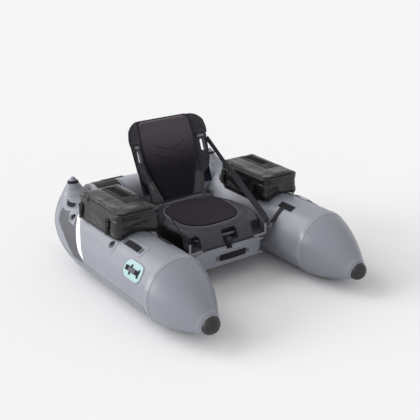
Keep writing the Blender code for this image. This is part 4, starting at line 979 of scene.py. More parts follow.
def lidSheet(name, side, word, box, lift, wall, finish, cells, corner):
    # a patch sewn on the lid's top, following its dents
    lowX, highX, lowY, highY = box

    def place(u, v):
        y = lowY + (highY - lowY) * v
        near = min(v, 1 - v) * (highY - lowY)
        cutIn = corner - math.sqrt(max(0, corner ** 2 - max(0, corner - near) ** 2))
        x = lowX + cutIn + (highX - lowX - 2 * cutIn) * u
        edge = 0 if min(u, v, 1 - u, 1 - v) < 0.001 else lift
        return side * bag["midX"] + x, y, lidHeight(side, x, y - bag["midY"]) + edge

    wear(sheetPiece(name, cells, place, axisZ, wall, 40), finish, f"lid_{word}")


def zipPath(side, height):
    # round the front corner on the -X side: forwards from the rear, then across, with the outward directions
    corner = bag["corner"] - bag["zipInset"]
    x, y = bag["zipInset"] - bag["halfX"], bag["zipInset"] - bag["halfY"]
    run = [(x, here, -1, 0) for here in np.linspace(bag["zipRear"] - bag["midY"], y + corner, 30)]
    run += [(x + corner + corner * math.cos(turn), y + corner + corner * math.sin(turn), math.cos(turn), math.sin(turn))
            for turn in np.linspace(math.pi, math.pi * 1.5, 10)[1:]]
    run += [(here, y, 0, -1) for here in np.linspace(x + corner, bag["zipEndX"], 14)[1:]]
    points = [Vector((side * bag["midX"] + px, bag["midY"] + py, lidHeight(side, px, py) + height)) for px, py, _, _ in run]
    return points, [Vector((dx, dy, -0.7)) for _, _, dx, dy in run]


def makeZip(side, word):
    # zip tape and coil along the lid's edge, over its piping
    body = f"lid_{word}"
    flat, slope = zipPath(side, 0.0012)
    wear(strapPiece(f"zipTape_{word}", flat, slope, bag["zipTape"], 0.0008), "tarpDark", body)
    coil = strapPiece(f"zipCoil_{word}", [p + axisZ * 0.0007 for p in flat], slope, bag["zipCoil"], 0.0016)
    wear(coil, "zip", body)
    # the slider and its cord pull
    at = flat[4]
    slider = blockPiece(f"zipSlider_{word}", (0.007, 0.012, 0.004), Matrix.Translation(at + axisZ * 0.003), 0.0012, 3)
    wear(slider, "steel", body)
    hang = ((-0.001, -0.006, 0.004), (-0.006, -0.014, 0.002), (-0.011, -0.022, -0.006), (-0.0125, -0.028, -0.016))
    pull = strapPiece(f"zipPull_{word}", [at + Vector(step) for step in hang], Vector((0, 1, 0.2)), 0.006, 0.0016)
    wear(pull, "webbing", body)


def makeHarness(side, word):
    # a dark sheet under the bag on the tube, and straps with buckles up both long sides
    front = bag["midY"] - bag["halfY"] + harness["front"] - tube["seamY"]
    rear = bag["midY"] + bag["halfY"] - harness["rear"] - tube["seamY"]
    low, high = harness["angles"]
    parts, buckles = [], []
    parts.append(sheetPiece("harnessSheet", (40, 40), lambda u, v: hullPoint(
        side, front + (rear - front) * u, low + (high - low) * v, 0.0006), axisZ, 0.0012))
    for way in (-1, 1):
        x = side * bag["midX"] + way * (bag["halfX"] + harness["out"])
        for y in harness["strapY"]:
            line = [(x + way * out, z) for out, z in harness["line"]]
            # where the strap reaches the tube it runs on towards the middle, under the bag
            for step in range(5):
                here = x - way * (0.014 + 0.009 * step)
                rest = saddleHeight(side, here, 0.0035)
                line.append((here, rest if step else min(line[5][1] - 0.004, rest)))
            points = [Vector((px, y, pz)) for px, pz in line]
            parts.append(strapPiece("harnessStrap", points, axisY, harness["width"], 0.0016))
            # the loose tail below the buckle hangs free and a little away
            tail = [Vector((x + way * out, y + along, z)) for out, along, z in harness["tail"]]
            parts.append(strapPiece("harnessTail", tail, axisY, harness["width"] * 0.9, 0.0014))
            turn = Matrix.Rotation(way * math.pi / 2, 4, "Y") @ Matrix.Rotation(math.pi / 2, 4, "Z")
            place = Matrix.Translation((x + way * harness["out"], y, harness["buckleZ"])) @ turn
            buckles.append(ladderBuckle("bagBuckle", place, *harness["buckle"]))
    wear(joinPieces(f"bagHarness_{word}", parts), "webbing", "hull", f"bag_harness_{word}")
    wear(joinPieces(f"bagBuckles_{word}", buckles), "blackPlastic", "hull")


def makeBagTrim(side, word):
    # piping round the tub's bottom edge, and a sewn seam under the lid's skirt
    def bottom(column):
        x = side * bag["midX"] + bagRing(column, 0.0005)[0]
        return max(bag["bottom"], saddleHeight(side, x, bag["off"])) + 0.004

    piping = [bagPlace(side, column, 0.0005, 0.0008, bottom(column)) for column in bagColumns[::2]]
    wear(cordPiece(f"bagPiping_{word}", piping, 0.0022, True), "tarpDark", "hull")
    seam = [bagPlace(side, column, -0.0012, 0, bag["skirt"] + 0.0025) for column in bagColumns[::2]]
    wear(cordPiece(f"bagSkirtSeam_{word}", seam, 0.0011, True), "tarpDark", f"lid_{word}")


for side, word in sides:
    makeTub(side, word)
    makeLid(side, word)
    lidSheet(f"lidPanel_{word}", side, word, bag["panel"], 0.0008, 0.0009, "tarpFlat", (24, 50), 0.006)
    lidSheet(f"lidHookPatch_{word}", side, word, bag["hook"], 0.0020, 0.0012, "hookTape", (16, 50), 0.003)
    makeZip(side, word)
    makeHarness(side, word)
    makeBagTrim(side, word)

print("scene: seat")

# Same sizes as the CAD's seat; the top falls towards the front as in the photograph
seat = {
    "frontY": -0.156, "length": 0.372, "half": 0.246, "height": 0.100, "floorZ": 0.1823, "edge": 0.048, "drop": 0.013,
    # (share of the length, share of the half width, share of the height)
    "shares": ((0, 0.80, 0.12), (0.012, 0.825, 0.30), (0.045, 0.855, 0.60), (0.095, 0.885, 0.81), (0.155, 0.925, 0.94),
               (0.22, 0.96, 1), (0.34, 1, 1), (0.50, 0.985, 1), (0.68, 0.90, 1), (0.86, 0.775, 1), (1, 0.66, 0.99)),
    # (low x, high x, low z, high z)
    "windows": ((-0.025, 0.063, 0.200, 0.252), (0.148, 0.222, 0.200, 0.252), (-0.222, -0.148, 0.200, 0.252)),
    "windowDepth": 0.056, "windowCorner": 0.013, "flank": 0.6, "tuck": 0.010,
    "padMidY": 0.053, "padLong": 0.135, "padWide": 0.166, "padPower": 2.75, "padZ": 0.2826, "padThick": 0.006,
    "padCrown": 0.005, "padRoll": 0.0026, "navy": (0.055, 0.200), "bandZ": 0.1868,
}


def seatSection(y):
    # the half width and the height at a place along the seat, averaged so that the table's corners don't show
    share = (y - seat["frontY"]) / seat["length"]
    spread = 0.018 * min(1, max(0.05, share * 12))
    spots = [clamp(share + step * spread) for step in (-1, 0, 1)]
    half, height = (sum(tableValue(seat["shares"], spot, column) / 3 for spot in spots) for column in (1, 2))
    return half * seat["half"], height * seat["height"]


def seatDrop(y):
    return seat["drop"] * softStep(0.10 - y, 0, 0.17)


def powerSum(a, b):
    return (abs(a) ** seat["padPower"] + abs(b) ** seat["padPower"]) ** (1 / seat["padPower"])


def padEdge(x, y):
    # 1 on the pad's outline, less inside it
    return powerSum(x / seat["padWide"], (y - seat["padMidY"]) / seat["padLong"])


def padSpot(rim, turn):
    # the place at an angle where padEdge is rim
    c, s = math.cos(turn), math.sin(turn)
    reach = rim / powerSum(c, s)
    return reach * c * seat["padWide"], seat["padMidY"] + reach * s * seat["padLong"]


def seatHeight(x, y):
    # the cover's top: its rounded edge, the fall to the front, the groove round the pad, soft sewn channels
    half, height = seatSection(y)
    side = seat["flank"] * height
    over = max(0, abs(x) - (half - seat["edge"])) / seat["edge"]
    top = side + (height - side) * math.sqrt(max(0, 1 - over * over))
    top -= seatDrop(y) * min(1, height / seat["height"]) * (1 - min(1, over))
    rim = padEdge(x, y)
    relief = 0.0022 * bell(rim, 1.16, 0.09) - 0.0035 * bell(rim, 1.02, 0.035)
    relief -= 0.0014 * bell(rim, 1.30, 0.02) if y < 0.06 else 0
    relief += 0.0016 * softNoise((x, y, 0), 0.06, 4.4) * (1 - min(1, over))
    return seat["floorZ"] + top + relief * min(1, height / 0.06)


def makeSeatBase():
    # columns run up the left flank, over the top, down the right flank and back under the seat
    over = [math.sin(math.pi / 2 * t) for t in np.linspace(-1, 1, 121)]
    front, floorZ = seat["frontY"], seat["floorZ"]
    ys = [front + seat["length"] * s ** 1.25 for s in np.linspace(0, 1, 110)]
    ys = [ys[0]] + ys + [ys[-1]]
    flank, under, last = 8, 14, len(ys) - 1
    columns = len(over) + 2 * flank

    def place(u, v):
        row, spot = round(v * last), round(u * (columns + under - 1))
        y = ys[row]
        half, height = seatSection(y)
        if flank <= spot < flank + len(over):
            x = half * over[spot - flank]
            z = seatHeight(x, y)
        elif spot < columns:
            right = spot > flank
            share = (spot - flank - len(over)) / flank if right else 1 - spot / flank
            z = seat["flank"] * height * (1 - share)
            x = half - seat["tuck"] * max(0, share - 0.78) / 0.22 + 0.0018 * math.sin(math.pi * min(1, share * 1.2))
            x += 0.002 * softNoise((half, y, z), 0.05, 6.1 if right else 2.6) * math.sin(math.pi * share)
            x, z = x if right else -x, z + floorZ
        else:
            x, z = (half - seat["tuck"]) * (1 - 2 * (spot - columns + 1) / under), floorZ
        # the front and rear ends are closed by a row drawn to the middle
        return (x * 0.02, y, floorZ + 0.004) if row in (0, last) else (x, y, z)

    piece = laidGrid("seatCover", columns + under - 1, last, place, closed=True)
    piece.data.materials.append(finishes["cover"])
    for lowX, highX, lowZ, highZ in seat["windows"]:
        size = (highX - lowX, 0.09 + seat["windowDepth"], highZ - lowZ)
        middle = ((lowX + highX) / 2, front + seat["windowDepth"] - size[1] / 2, (lowZ + highZ) / 2)
        cutHole(piece, size, Matrix.Translation(middle), seat["windowCorner"], 5)
    # the side walls are dark cloth, painted near black for the shade that falls in the gaps beside the bags
    black = len(piece.data.materials)
    piece.data.materials.append(finishes["sideCloth"])
    for face in piece.data.polygons:
        half, height = seatSection(face.center.y)
        low = face.center.z < floorZ + 0.88 * height
        if low and abs(face.center.x) > half - 0.014 and face.material_index == 0:
            face.material_index = black
    smooth(piece, 38)
    wear(piece, None, "hull", "seat_base")


def seatFront(x, z):
    # the place on the front slope at a height
    low, high = seat["frontY"], seat["frontY"] + 0.10
    for _ in range(24):
        middle = (low + high) / 2
        if seatHeight(x, middle) < z:
            low = middle
        else:
            high = middle
    return high


def makeWindowRims():
    # a bound edge round each window
    for number, window in enumerate(seat["windows"]):
        loop = [(x, seatFront(x, z) - 0.0004, z) for x, z in roundedLoop(*window, seat["windowCorner"], 8)]
        wear(cordPiece(f"windowRim_{number}", loop, 0.0024, True), "hood", "hull")


def padTop(x, y, rim):
    crown = seat["padCrown"] * max(0, 1 - rim ** 2.4)
    ring = 0.0016 * bell(rim, 0.90, 0.016)
    return seat["padZ"] + seat["padThick"] - seatDrop(y) + crown - ring + 0.0005 * softNoise((x, y, 0), 0.03, 8.8)


def makeSeatPad():
    # rings over the top with their edge rolled down, then down the side and under, as (rim, depth below the edge)
    rows = [(rim, None) for rim in (0.002, *np.linspace(0.04, 0.97, 46), 0.985, 0.996, 1.0)]
    rows += [(1.003, 0.0022), (1.0, 0.005), (0.97, 0.008), (0.5, 0.008), (0.002, 0.008)]
    last = len(rows) - 1

    def place(u, v):
        rim, depth = rows[round(v * last)]
        x, y = padSpot(rim, 2 * math.pi * u)
        if depth is None:
            return x, y, padTop(x, y, rim) - seat["padRoll"] * max(0, (rim - 0.95) / 0.05) ** 2
        return x, y, padTop(x, y, 1.0) - seat["padRoll"] - depth

    piece = laidGrid("seatPadFoam", 160, last, place, closed=True)
    smooth(piece, 50)
    wear(piece, "foam", "hull", "seat_pad")
    # the light seam line round the inset, and a finer one outside it
    for name, rim, radius, finish in (("seatInsetPiping", 1.045, 0.0020, "rim"), ("seatInsetSeam", 1.19, 0.0010, "mesh")):
        spots = [padSpot(rim, turn) for turn in np.linspace(0, 2 * math.pi, 121)[:-1]]
        loop = [(x, y, seatHeight(x, y) + radius * 0.4) for x, y in spots]
        wear(cordPiece(name, loop, radius, True, 1), finish, "hull")


def makeSeatTrim():
    # light piping along the rear edge of the seat, dark welt at the sides, the black band under the front
    rearY = seat["frontY"] + seat["length"] - 0.004
    half = seatSection(rearY)[0]
    line = [(x, rearY, seatHeight(x, rearY) + 0.001) for x in np.linspace(-half * 0.96, half * 0.96, 60)]
    wear(cordPiece("seatRearPiping", line, 0.0028), "rim", "hull")
    first, final = seat["navy"]
    for side, word in sides:
        edges = [(seatSection(y)[0] - 0.020, y) for y in np.linspace(-0.128, rearY, 60)]
        welt = [(side * x, y, seatHeight(x, y) + 0.0006) for x, y in edges]
        wear(cordPiece(f"seatWelt_{word}", welt, 0.0013, roundness=1), "hood", "hull")

        # the navy panel sewn along the side
        def place(u, v):
            y = first + (final - first) * u
            x = seatSection(y)[0] - 0.004 - (0.030 + 0.016 * u) * v
            return side * x, y, seatHeight(x, y) + 0.0006

        wear(sheetPiece(f"seatNavyPanel_{word}", (40, 10), place, axisZ, 0.0009), "navy", "hull")
    front = [(x, seat["frontY"] + 0.001, seat["bandZ"]) for x in np.linspace(-0.19, 0.19, 40)]
    wear(strapPiece("seatFrontBand", front, axisZ, 0.010, 0.0026), "hood", "hull")


makeSeatBase()
makeWindowRims()
makeSeatPad()
makeSeatTrim()

print("scene: backrest")

# The back's own frame: x across, up along it, forward out of its front. The outlines are (share of the height,
# share of the half width), and the Vs (share of the height, arm)
back = {
    "place": (0, 0.220, 0.290), "lean": -22.6, "height": 0.404, "half": 0.221, "shellFront": -0.0183,
    "wingForward": 0.020, "shellThick": 0.014, "bendX": 0.1547, "panelHalf": 0.154, "panelThick": 0.018,
    "panelCrown": 0.004, "hoodUp": 0.292, "hem": 0.0035,
    "shell": ((0, 0.66), (0.04, 0.70), (0.12, 0.745), (0.235, 0.785), (0.30, 0.905), (0.42, 0.965), (0.55, 0.98),
              (0.67, 0.995), (0.80, 1), (0.89, 0.96), (0.95, 0.87), (0.985, 0.76), (1, 0.60)),
    "panel": ((0.02, 0.55), (0.11, 0.66), (0.27, 0.80), (0.38, 0.91), (0.50, 0.965), (0.63, 0.985), (0.71, 1),
              (0.84, 0.975), (0.93, 0.95), (0.97, 0.88), (0.985, 0.76)),
    "chevrons": ((0.604, 0.104), (0.49, 0.100), (0.361, 0.082), (0.255, 0.050), (0.161, 0.042)), "rise": 23,
    "slot": (0.186, 0.236, 0.018, 0.060), "pocket": (0.050, 0.150, 0.2045), "tab": (0.030, 0.013),
}
backFrame = Matrix.Translation(back["place"]) @ Matrix.Rotation(math.radians(back["lean"]), 4, "X")


def backPoint(x, up, forward):
    return backFrame @ Vector((x, -forward, up))


def outlineHalf(table, full, up):
    # averaged over a few places, so that the table's corners don't show
    share = min(1, up / back["height"])
    return sum(tableValue(table, share + step * 0.012) for step in (-1, 0, 1)) / 3 * full


def shellHalf(up):
    # the hood's hem stands out a little from the sleeve under it
    hem = softStep(up, back["hoodUp"] - 0.003, back["hoodUp"] + 0.002) * (1 - softStep(up, 0.36, 0.40))
    return outlineHalf(back["shell"], back["half"], up) + back["hem"] * hem


def panelHalf(up):
    return outlineHalf(back["panel"], back["panelHalf"], up)


def shellForward(x):
    # flat between the wings, which curve forwards
    share = math.sqrt(clamp((abs(x) - back["bendX"]) / (back["half"] - back["bendX"])))
    return back["shellFront"] + (back["wingForward"] - back["shellFront"]) * share


def shellPlace(x, up, half):
    # padded hoods over the upper corners, quilted mesh with slack below them
    share = abs(x) / max(half, 1e-6)
    hood = softStep(up, back["hoodUp"] - 0.004, back["hoodUp"] + 0.003) * softStep(abs(x), 0.140, 0.160)
    forward = shellForward(x) + 0.0075 * hood * (1 - 0.5 * max(0, share - 0.8) / 0.2)
    slack = softStep(abs(x), 0.150, 0.165) * (0.4 + 0.6 * (1 - hood))
    return forward + 0.003 * softNoise((x, up, 0.3), 0.035, 1.9) * slack - 0.009 * softStep(share, 0.90, 1.0) ** 2


def makeBackShell():
    crowded = (0.945, 0.958, 0.97, 0.98, 0.988, 0.994, 0.998, 1.0, 1.0)
    ups = [0.0] + [back["height"] * s for s in (*np.linspace(0.0, 0.93, 110), *crowded)]
    shares = [math.sin(math.pi / 2 * t) for t in np.linspace(-1, 1, 91)]
    columns = len(shares) * 2 - 2
    last = len(ups) - 1

    def place(u, v):
        # over the front from left to right, and back over the rear
        row, spot = round(v * last), round(u * columns) % columns
        up = ups[row]
        half = shellHalf(up)
        x = half * shares[min(spot, columns - spot)]
        rear = shellForward(x) - back["shellThick"]
        if row in (0, last):
            forward = shellForward(x) - back["shellThick"] / 2
        elif spot < len(shares):
            forward = shellPlace(x, up, half)
        else:
            share = abs(x) / half
            forward = rear - 0.002 * math.cos(math.pi / 2 * share) + 0.004 * softStep(share, 0.92, 1.0) ** 2
        return backPoint(x, up, forward)

    piece = laidGrid("backShell", columns, last, place, closed=True)
    editMesh(piece, lambda: bpy.ops.mesh.select_all(action="DESELECT"), lambda: bpy.ops.mesh.select_mode(type="EDGE"),
             bpy.ops.mesh.select_non_manifold, lambda: bpy.ops.mesh.fill_holes(sides=0),
             lambda: bpy.ops.mesh.select_all(action="SELECT"), faceOut)
    piece.data.materials.append(finishes["hood"])
    midX, midUp, wide, tall = back["slot"]
    for side, word in sides:
        middle = backFrame @ Matrix.Translation((side * midX, 0, midUp))
        cutHole(piece, (wide, 0.12, tall), middle, wide * 0.48, 6)
    smooth(piece, 38)
    wear(piece, None, "backrest", "back_shell")


def makeBackTrim(side, word):
    midX, midUp, wide, tall = back["slot"]
    hoodUp, (tabWide, tabTall) = back["hoodUp"], back["tab"]

    def edging(name, line, radius, finish="webbing", cyclic=False):
        wear(cordPiece(f"{name}_{word}", line, radius, cyclic), finish, "backrest")

    # bound rim round the slot, and the light tab above it
    loop = []
    for middle, start in ((midUp + tall / 2 - wide / 2, 0), (midUp - tall / 2 + wide / 2, 180)):
        for turn in np.radians(np.linspace(start, start + 180, 14)):
            x, up = side * midX + (wide / 2 + 0.0005) * math.cos(turn), middle + wide / 2 * math.sin(turn)
            loop.append(backPoint(x, up, shellPlace(x, up, 0.214) + 0.0004))
    edging("slotRim", loop, 0.0018, "rim", True)

    def tabPlace(u, v):
        x = side * midX + (u - 0.5) * tabWide
        return backPoint(x, hoodUp - 0.016 + tabTall * v, shellPlace(x, hoodUp - 0.010, 0.214) + 0.0012)

    wear(sheetPiece(f"hoodTab_{word}", (8, 6), tabPlace, -axisY, 0.0016), "rim", "backrest")
    # piping on the hood's edge, and on the sleeve below it
    for name, low, high, radius in (("hoodPiping", hoodUp + 0.004, 0.399, 0.0022), ("sleevePiping", 0.004, hoodUp - 0.006, 0.0017)):
        halves = [(shellHalf(up), up) for up in np.linspace(low, high, 70)]
        edging(name, [backPoint(side * half * 0.985, up, shellPlace(half * 0.985, up, half) + 0.0008)
                      for half, up in halves], radius)
    edging("hoodHem", [backPoint(side * x, hoodUp + 0.001, shellPlace(x, hoodUp + 0.004, 0.2175) - 0.0008)
                       for x in np.linspace(0.158, 0.215, 20)], 0.0019)

    # the lighter gusset beside the lower panel
    def gussetPlace(u, v):
        up = 0.006 + 0.104 * v
        inner = panelHalf(up) + 0.001
        outer = min(0.162, outlineHalf(back["shell"], back["half"], up) - 0.004)
        x = inner + (outer - inner) * u
        bulge = 0.010 * math.sin(math.pi * u) * math.sin(math.pi * min(1, 0.15 + 0.85 * v))
        return backPoint(side * x, up, shellForward(x) + 0.001 + bulge)

    wear(sheetPiece(f"gusset_{word}", (16, 30), gussetPlace, -axisY, 0.0012), "mesh", "backrest")


def chevronLift(x, up):
    # raised Vs: a rounded rib with a drawn-in line under it
    lift = 0
    rise = math.radians(back["rise"])
    for share, arm in back["chevrons"]:
        off = (up - share * back["height"] - abs(x) * math.tan(rise)) * math.cos(rise)
        fade = softStep(arm * math.cos(rise) - abs(x), -0.004, 0.010) * softStep(abs(x), 0.001, 0.005)
        lift += fade * (0.0030 * bell(off, 0, 0.0024) - 0.0034 * bell(off, -0.0052, 0.0026))
    return lift


def panelForward(x, up, half):
    edge = min(1, (half - abs(x)) / 0.016, (up - 0.008) / 0.014, (0.398 - up) / 0.014)
    body = math.sqrt(max(0, 1 - (1 - max(0, edge)) ** 2))
    crown = back["panelCrown"] * math.cos(math.pi / 2 * min(1, abs(x) / half)) * math.sin(math.pi * up / back["height"])
    # two long quilted channels run down beside the Vs
    relief = chevronLift(x, up) - 0.0022 * bell(abs(x), half * 0.86, 0.0035) + 0.0006 * softNoise((x, up, 0), 0.04, 3.3)
    return back["shellFront"] + (back["panelThick"] + crown + relief) * body


def makeBackPanel():
    def place(u, v):
        up = 0.0081 + 0.3898 * v
        half = panelHalf(up)
        x = half * (2 * u - 1)
        return backPoint(x, up, panelForward(x, up, half))

    piece = sheetPiece("backPanelFoam", (190, 260), place, -axisY, 0.003, 45, -1)
    wear(piece, "backFoam", "backrest", "back_panel")


def makePocket():
    # a flat, slightly full pocket behind the back, with a bound mouth
    low, tall, half = back["pocket"]

    def place(u, v):
        up, x = low + tall * v, half * (2 * u - 1)
        near = min(u, 1 - u, v * 0.6, (1 - v) * 1.4 + 0.05)
        full = math.sqrt(max(0, 1 - (1 - min(1, near / 0.08)) ** 2))
        soft = 0.0008 * softNoise((x, up, 0), 0.04, 5.5)
        return backPoint(x, up, shellForward(x) - back["shellThick"] - 0.0005 - 0.0105 * full + soft)

    piece = sheetPiece("backPocket", (90, 40), place, axisY, 0.0014, 45, -1)
    wear(piece, "navy", "backrest", "back_pocket")
    mouth = [backPoint(x, low + tall - 0.002, shellForward(x) - back["shellThick"] - 0.0085)
             for x in np.linspace(-0.196, 0.196, 50)]
    wear(cordPiece("pocketBinding", mouth, 0.0021), "webbing", "backrest")


makeBackShell()
for side, word in sides:
    makeBackTrim(side, word)
makeBackPanel()
makePocket()

print("scene: straps")

# the side strap runs from the seat's front corner to the back's wing, as (x out, y, z) and (x out, up, forward)
sideStrap = {
    "foot": (0.2328, -0.1544, 0.222), "bendZ": 0.250, "wing": (0.2175, 0.264, 0.013), "sag": 0.004,
    "width": 0.025, "wall": 0.0018, "doubledWidth": 0.030, "doubledWall": 0.0016,
    "adjusterAt": 19, "adjuster": (0.034, 0.036, 0.006),
}
lashing = {
    "y": -0.145, "start": (0.2142, 0.192), "lift": 0.0016, "slack": 0.35, "endAngle": -26, "width": 0.025, "wall": 0.0018,
    "patch": (-0.014, -27, 0.090, 0.034, 0.003), "buckle": (0.030, 0.026, 0.005),
}
tailStrap = {"length": 0.9895, "lift": 0.0014, "width": 0.012, "wall": 0.0022, "ring": (0.013, 0.0085, 0.0013),
             "ringAngle": 60, "ringLift": 0.0045}


def runDirection(points, facing):
    # the strap's width direction: across its run, in the plane that faces a direction
    last = len(points) - 1
    return [(points[min(last, i + 1)] - points[max(0, i - 1)]).cross(facing).normalized() for i in range(last + 1)]


def turnedTo(flat, towards, amount):
    # a strap's directions turned towards one, by an amount that changes along its run
    towards = Vector(towards)
    towards = -towards if flat[10].dot(towards) < 0 else towards
    return [f.lerp(towards, amount(i / (len(flat) - 1))).normalized() for i, f in enumerate(flat)]


def makeSideStrap(side, word):
    footX, footY, footZ = sideStrap["foot"]
    low, bend = Vector((side * footX, footY, footZ)), Vector((side * footX, footY, sideStrap["bendZ"]))
    high = backPoint(side * sideStrap["wing"][0], *sideStrap["wing"][1:])
    points = [low, low.lerp(bend, 0.5), bend]
    for share in np.linspace(0, 1, 30)[1:]:
        points.append(bend.lerp(high, share) - axisZ * sideStrap["sag"] * math.sin(math.pi * share))
    flat = runDirection(points, axisX)
    flat[:3] = [flat[4]] * 3
    if side < 0:
        # the left strap hangs edge-on to the front
        flat = turnedTo(flat, (0.626, 0.406, -0.666), lambda s: 0.8 + 0.2 * softStep(s, 0.42, 0.66))
    else:
        # the right one shows its breadth below the adjuster
        flat = turnedTo(flat, (-0.25, 0.30, -0.92), lambda s: 0.5 * softStep(s, 0.5, 0.8))
        broad = (high - bend).normalized().cross(Vector((-0.61, -0.69, 0.39)))
        flat = turnedTo(flat, broad, lambda s: 0.6 * (1 - softStep(s, 0.5, 0.7)))
    strap = strapPiece("single", points, flat, sideStrap["width"], sideStrap["wall"])
    # the doubled run below the adjuster
    doubled = strapPiece("double", [p + axisX * side * 0.0022 for p in points[3:20]], flat[3:20],
                         sideStrap["doubledWidth"], sideStrap["doubledWall"])
    piece = joinPieces(f"sideStrap_{word}", [strap, doubled])
    spot = sideStrap["adjusterAt"]
    along = (points[spot + 1] - points[spot - 1]).normalized()
    place = frameFrom(flat[spot], along, flat[spot].cross(along), points[spot] + axisX * side * 0.001)
    buckle = ladderBuckle(f"strapAdjuster_{word}", place, *sideStrap["adjuster"])
    for item, finish, node in ((piece, "strapWebbing", f"side_strap_{word}"), (buckle, "blackPlastic", ())):
        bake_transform(item)
        wear(item, finish, None, node)


def makeLashing(side, word):
    # from the seat's corner over the gap and up the inner side of the tube, ending under a welded webbing patch
    midX, midZ, reach = tube["spacing"], tube["midZ"], tube["radius"] + lashing["lift"]
    startX, startZ = lashing["start"]
    # the slack strap lies on the tube past the tangent
    touch = math.atan2(startX - midX, startZ - midZ)
    touch += math.acos(reach / math.hypot(startX - midX, startZ - midZ)) - lashing["slack"]

    def onTube(turn):
        return Vector((midX + reach * math.sin(turn), 0, midZ + reach * math.cos(turn)))

    line = [Vector((startX, 0, startZ)).lerp(onTube(touch), share) for share in np.linspace(0, 1, 10)]
    line += [onTube(turn) for turn in np.linspace(touch, math.radians(lashing["endAngle"]), 14)[1:]]
    points = [Vector((side * p.x, lashing["y"], p.z)) for p in line]
    piece = strapPiece(f"lashingStrap_{word}", points, axisY, lashing["width"], lashing["wall"])
    wear(piece, "strapWebbing", "hull", f"lashing_strap_{word}")
    back, degrees, long, wide, corner = lashing["patch"]
    hullSheet(f"lashingPatch_{word}", side, (12, 12),
              roundedSpot(lashing["y"] - tube["seamY"] + back, degrees, long, wide, corner),
              0.0024, 0.0014, "webbing")
    along = (points[6] - points[4]).normalized()
    buckle = ladderBuckle(f"lashingBuckle_{word}", frameFrom(axisY, along, axisY.cross(along), points[5]), *lashing["buckle"])
    wear(buckle, "greyPlastic", "hull")


def makeTailStrap(side, word):
    length, turns = tailStrap["length"], np.linspace(0, 1, 73)
    points = [hullPoint(side, length, 360 * t, tailStrap["lift"]) for t in turns]
    directions = [hullPoint(side, 0.996, 360 * t) - hullPoint(side, 0.983, 360 * t) for t in turns]
    piece = strapPiece(f"tailStrap_{word}", points, directions, tailStrap["width"], tailStrap["wall"], (96, 4))
    wear(piece, "webbing", "hull", f"tail_strap_{word}")
    # a small D-ring on the outer side
    spot = hullFrame(side, length, tailStrap["ringAngle"], tailStrap["ringLift"])
    deep, half, radius = tailStrap["ring"]
    bow = [spot @ Vector((deep * math.cos(t), half * math.sin(t), 0.001)) for t in np.linspace(math.pi / 2, -math.pi / 2, 20)]
    wear(cordPiece(f"tailRing_{word}", bow, radius, True, 3), "steel", "hull")


for side, word in sides:
    makeSideStrap(side, word)
    makeLashing(side, word)
    makeTailStrap(side, word)

print("scene: platform and cross tube")

# the platform's front: each sheet is (middle x, low z, width, height, lift, wall, finish, cells)
platform = {
    "frontY": -0.1660, "midX": 0.019, "handle": (0.152, 0.119, 0.030, 0.0018), "handleRise": 0.004, "handleWall": 0.0018,
    "patch": ("platformPatch", 0.019, 0.110, 0.206, 0.048, 0.0006, 0.0008, "patch", (20, 8)),
    "ends": ("platformHandleEnd", 0.087, 0.123, 0.020, 0.021, 0.0018, 0.0012, "greyWebbing", (6, 6)),
    "keeper": ("platformKeeper", 0.028, 0.158, 0.022, 0.024, 0.0010, 0.0012, "tape", (6, 6)),
    "tapes": (("platformTape_170", 0, 0.1665, 0.40, 0.008, 0.0004, 0.0005, "tape", (40, 2)),
              ("platformTape_102", 0, 0.0975, 0.40, 0.008, 0.0004, 0.0005, "tape", (40, 2))),
}
# the cross tube: each sheet is (name, low x, high x, low angle, high angle, lift, wall, finish); 0 is on top, 90 in front
crossTube = {
    "y": 0.492, "z": 0.248, "radius": 0.100,
    "sheets": (("crossPanel", -0.330, -0.205, -20, 100, 0.0004, 0.0010, "tarpDark"),
               ("crossFlap", -0.262, -0.150, -60, -8, 0.0016, 0.0020, "tarpDark"),
               ("crossTapeLeft", -0.200, -0.186, -80, 110, 0.0004, 0.0006, "tape"),
               ("crossTapeRight", 0.186, 0.200, -80, 110, 0.0004, 0.0006, "tape")),
}
frontBuckle = {"x": 0.005, "z": 0.207, "out": 0.003, "steps": 40, "profile": (
    (0, -0.004), (0.012, -0.004), (0.0145, -0.002), (0.0150, 0.001), (0.0135, 0.004), (0.010, 0.0052), (0, 0.0045))}


def frontSheet(name, midX, lowZ, wide, tall, lift, wall, finish, cells):
    def place(u, v):
        return midX + (u - 0.5) * wide, platform["frontY"] - lift, lowZ + tall * v

    wear(sheetPiece(name, cells, place, -axisY, wall, 45), finish, "hull")


def makePlatform():
    dressedCopy("platform", "seat_platform", "hull", "hull", "hull_fabric", degrees=50)
    frontSheet(*platform["patch"])
    wide, lowZ, tall, lift = platform["handle"]

    def place(u, v):
        rise = lift + platform["handleRise"] * math.sin(math.pi * u) ** 0.6
        return platform["midX"] + (u - 0.5) * wide, platform["frontY"] - rise, lowZ + tall * v

    webbing = sheetPiece("platformWebbing", (30, 6), place, -axisY, platform["handleWall"], 45)
    wear(webbing, "webbing", "hull", "platform_handle")
    name, out, *size = platform["ends"]
    for way in (-1, 1):
        frontSheet(f"{name}_{way + 1}", platform["midX"] + way * out, *size)
    frontSheet(*platform["keeper"])
    # welded tape along the platform's front edges
    for tape in platform["tapes"]:
        frontSheet(*tape)


def makeCrossTube():
    dressedCopy("crossTube", "cross_tube", "lightPvc", "hull", "hull_fabric", degrees=50)
    for name, lowX, highX, low, high, lift, wall, finish in crossTube["sheets"]:
        def place(u, v):
            turn, reach = math.radians(low + (high - low) * v), crossTube["radius"] + lift
            return lowX + (highX - lowX) * u, crossTube["y"] - reach * math.sin(turn), crossTube["z"] + reach * math.cos(turn)

        piece = sheetPiece(name, (20, 40), place, axisZ - axisY, wall, 45)
        wear(piece, finish, "hull")


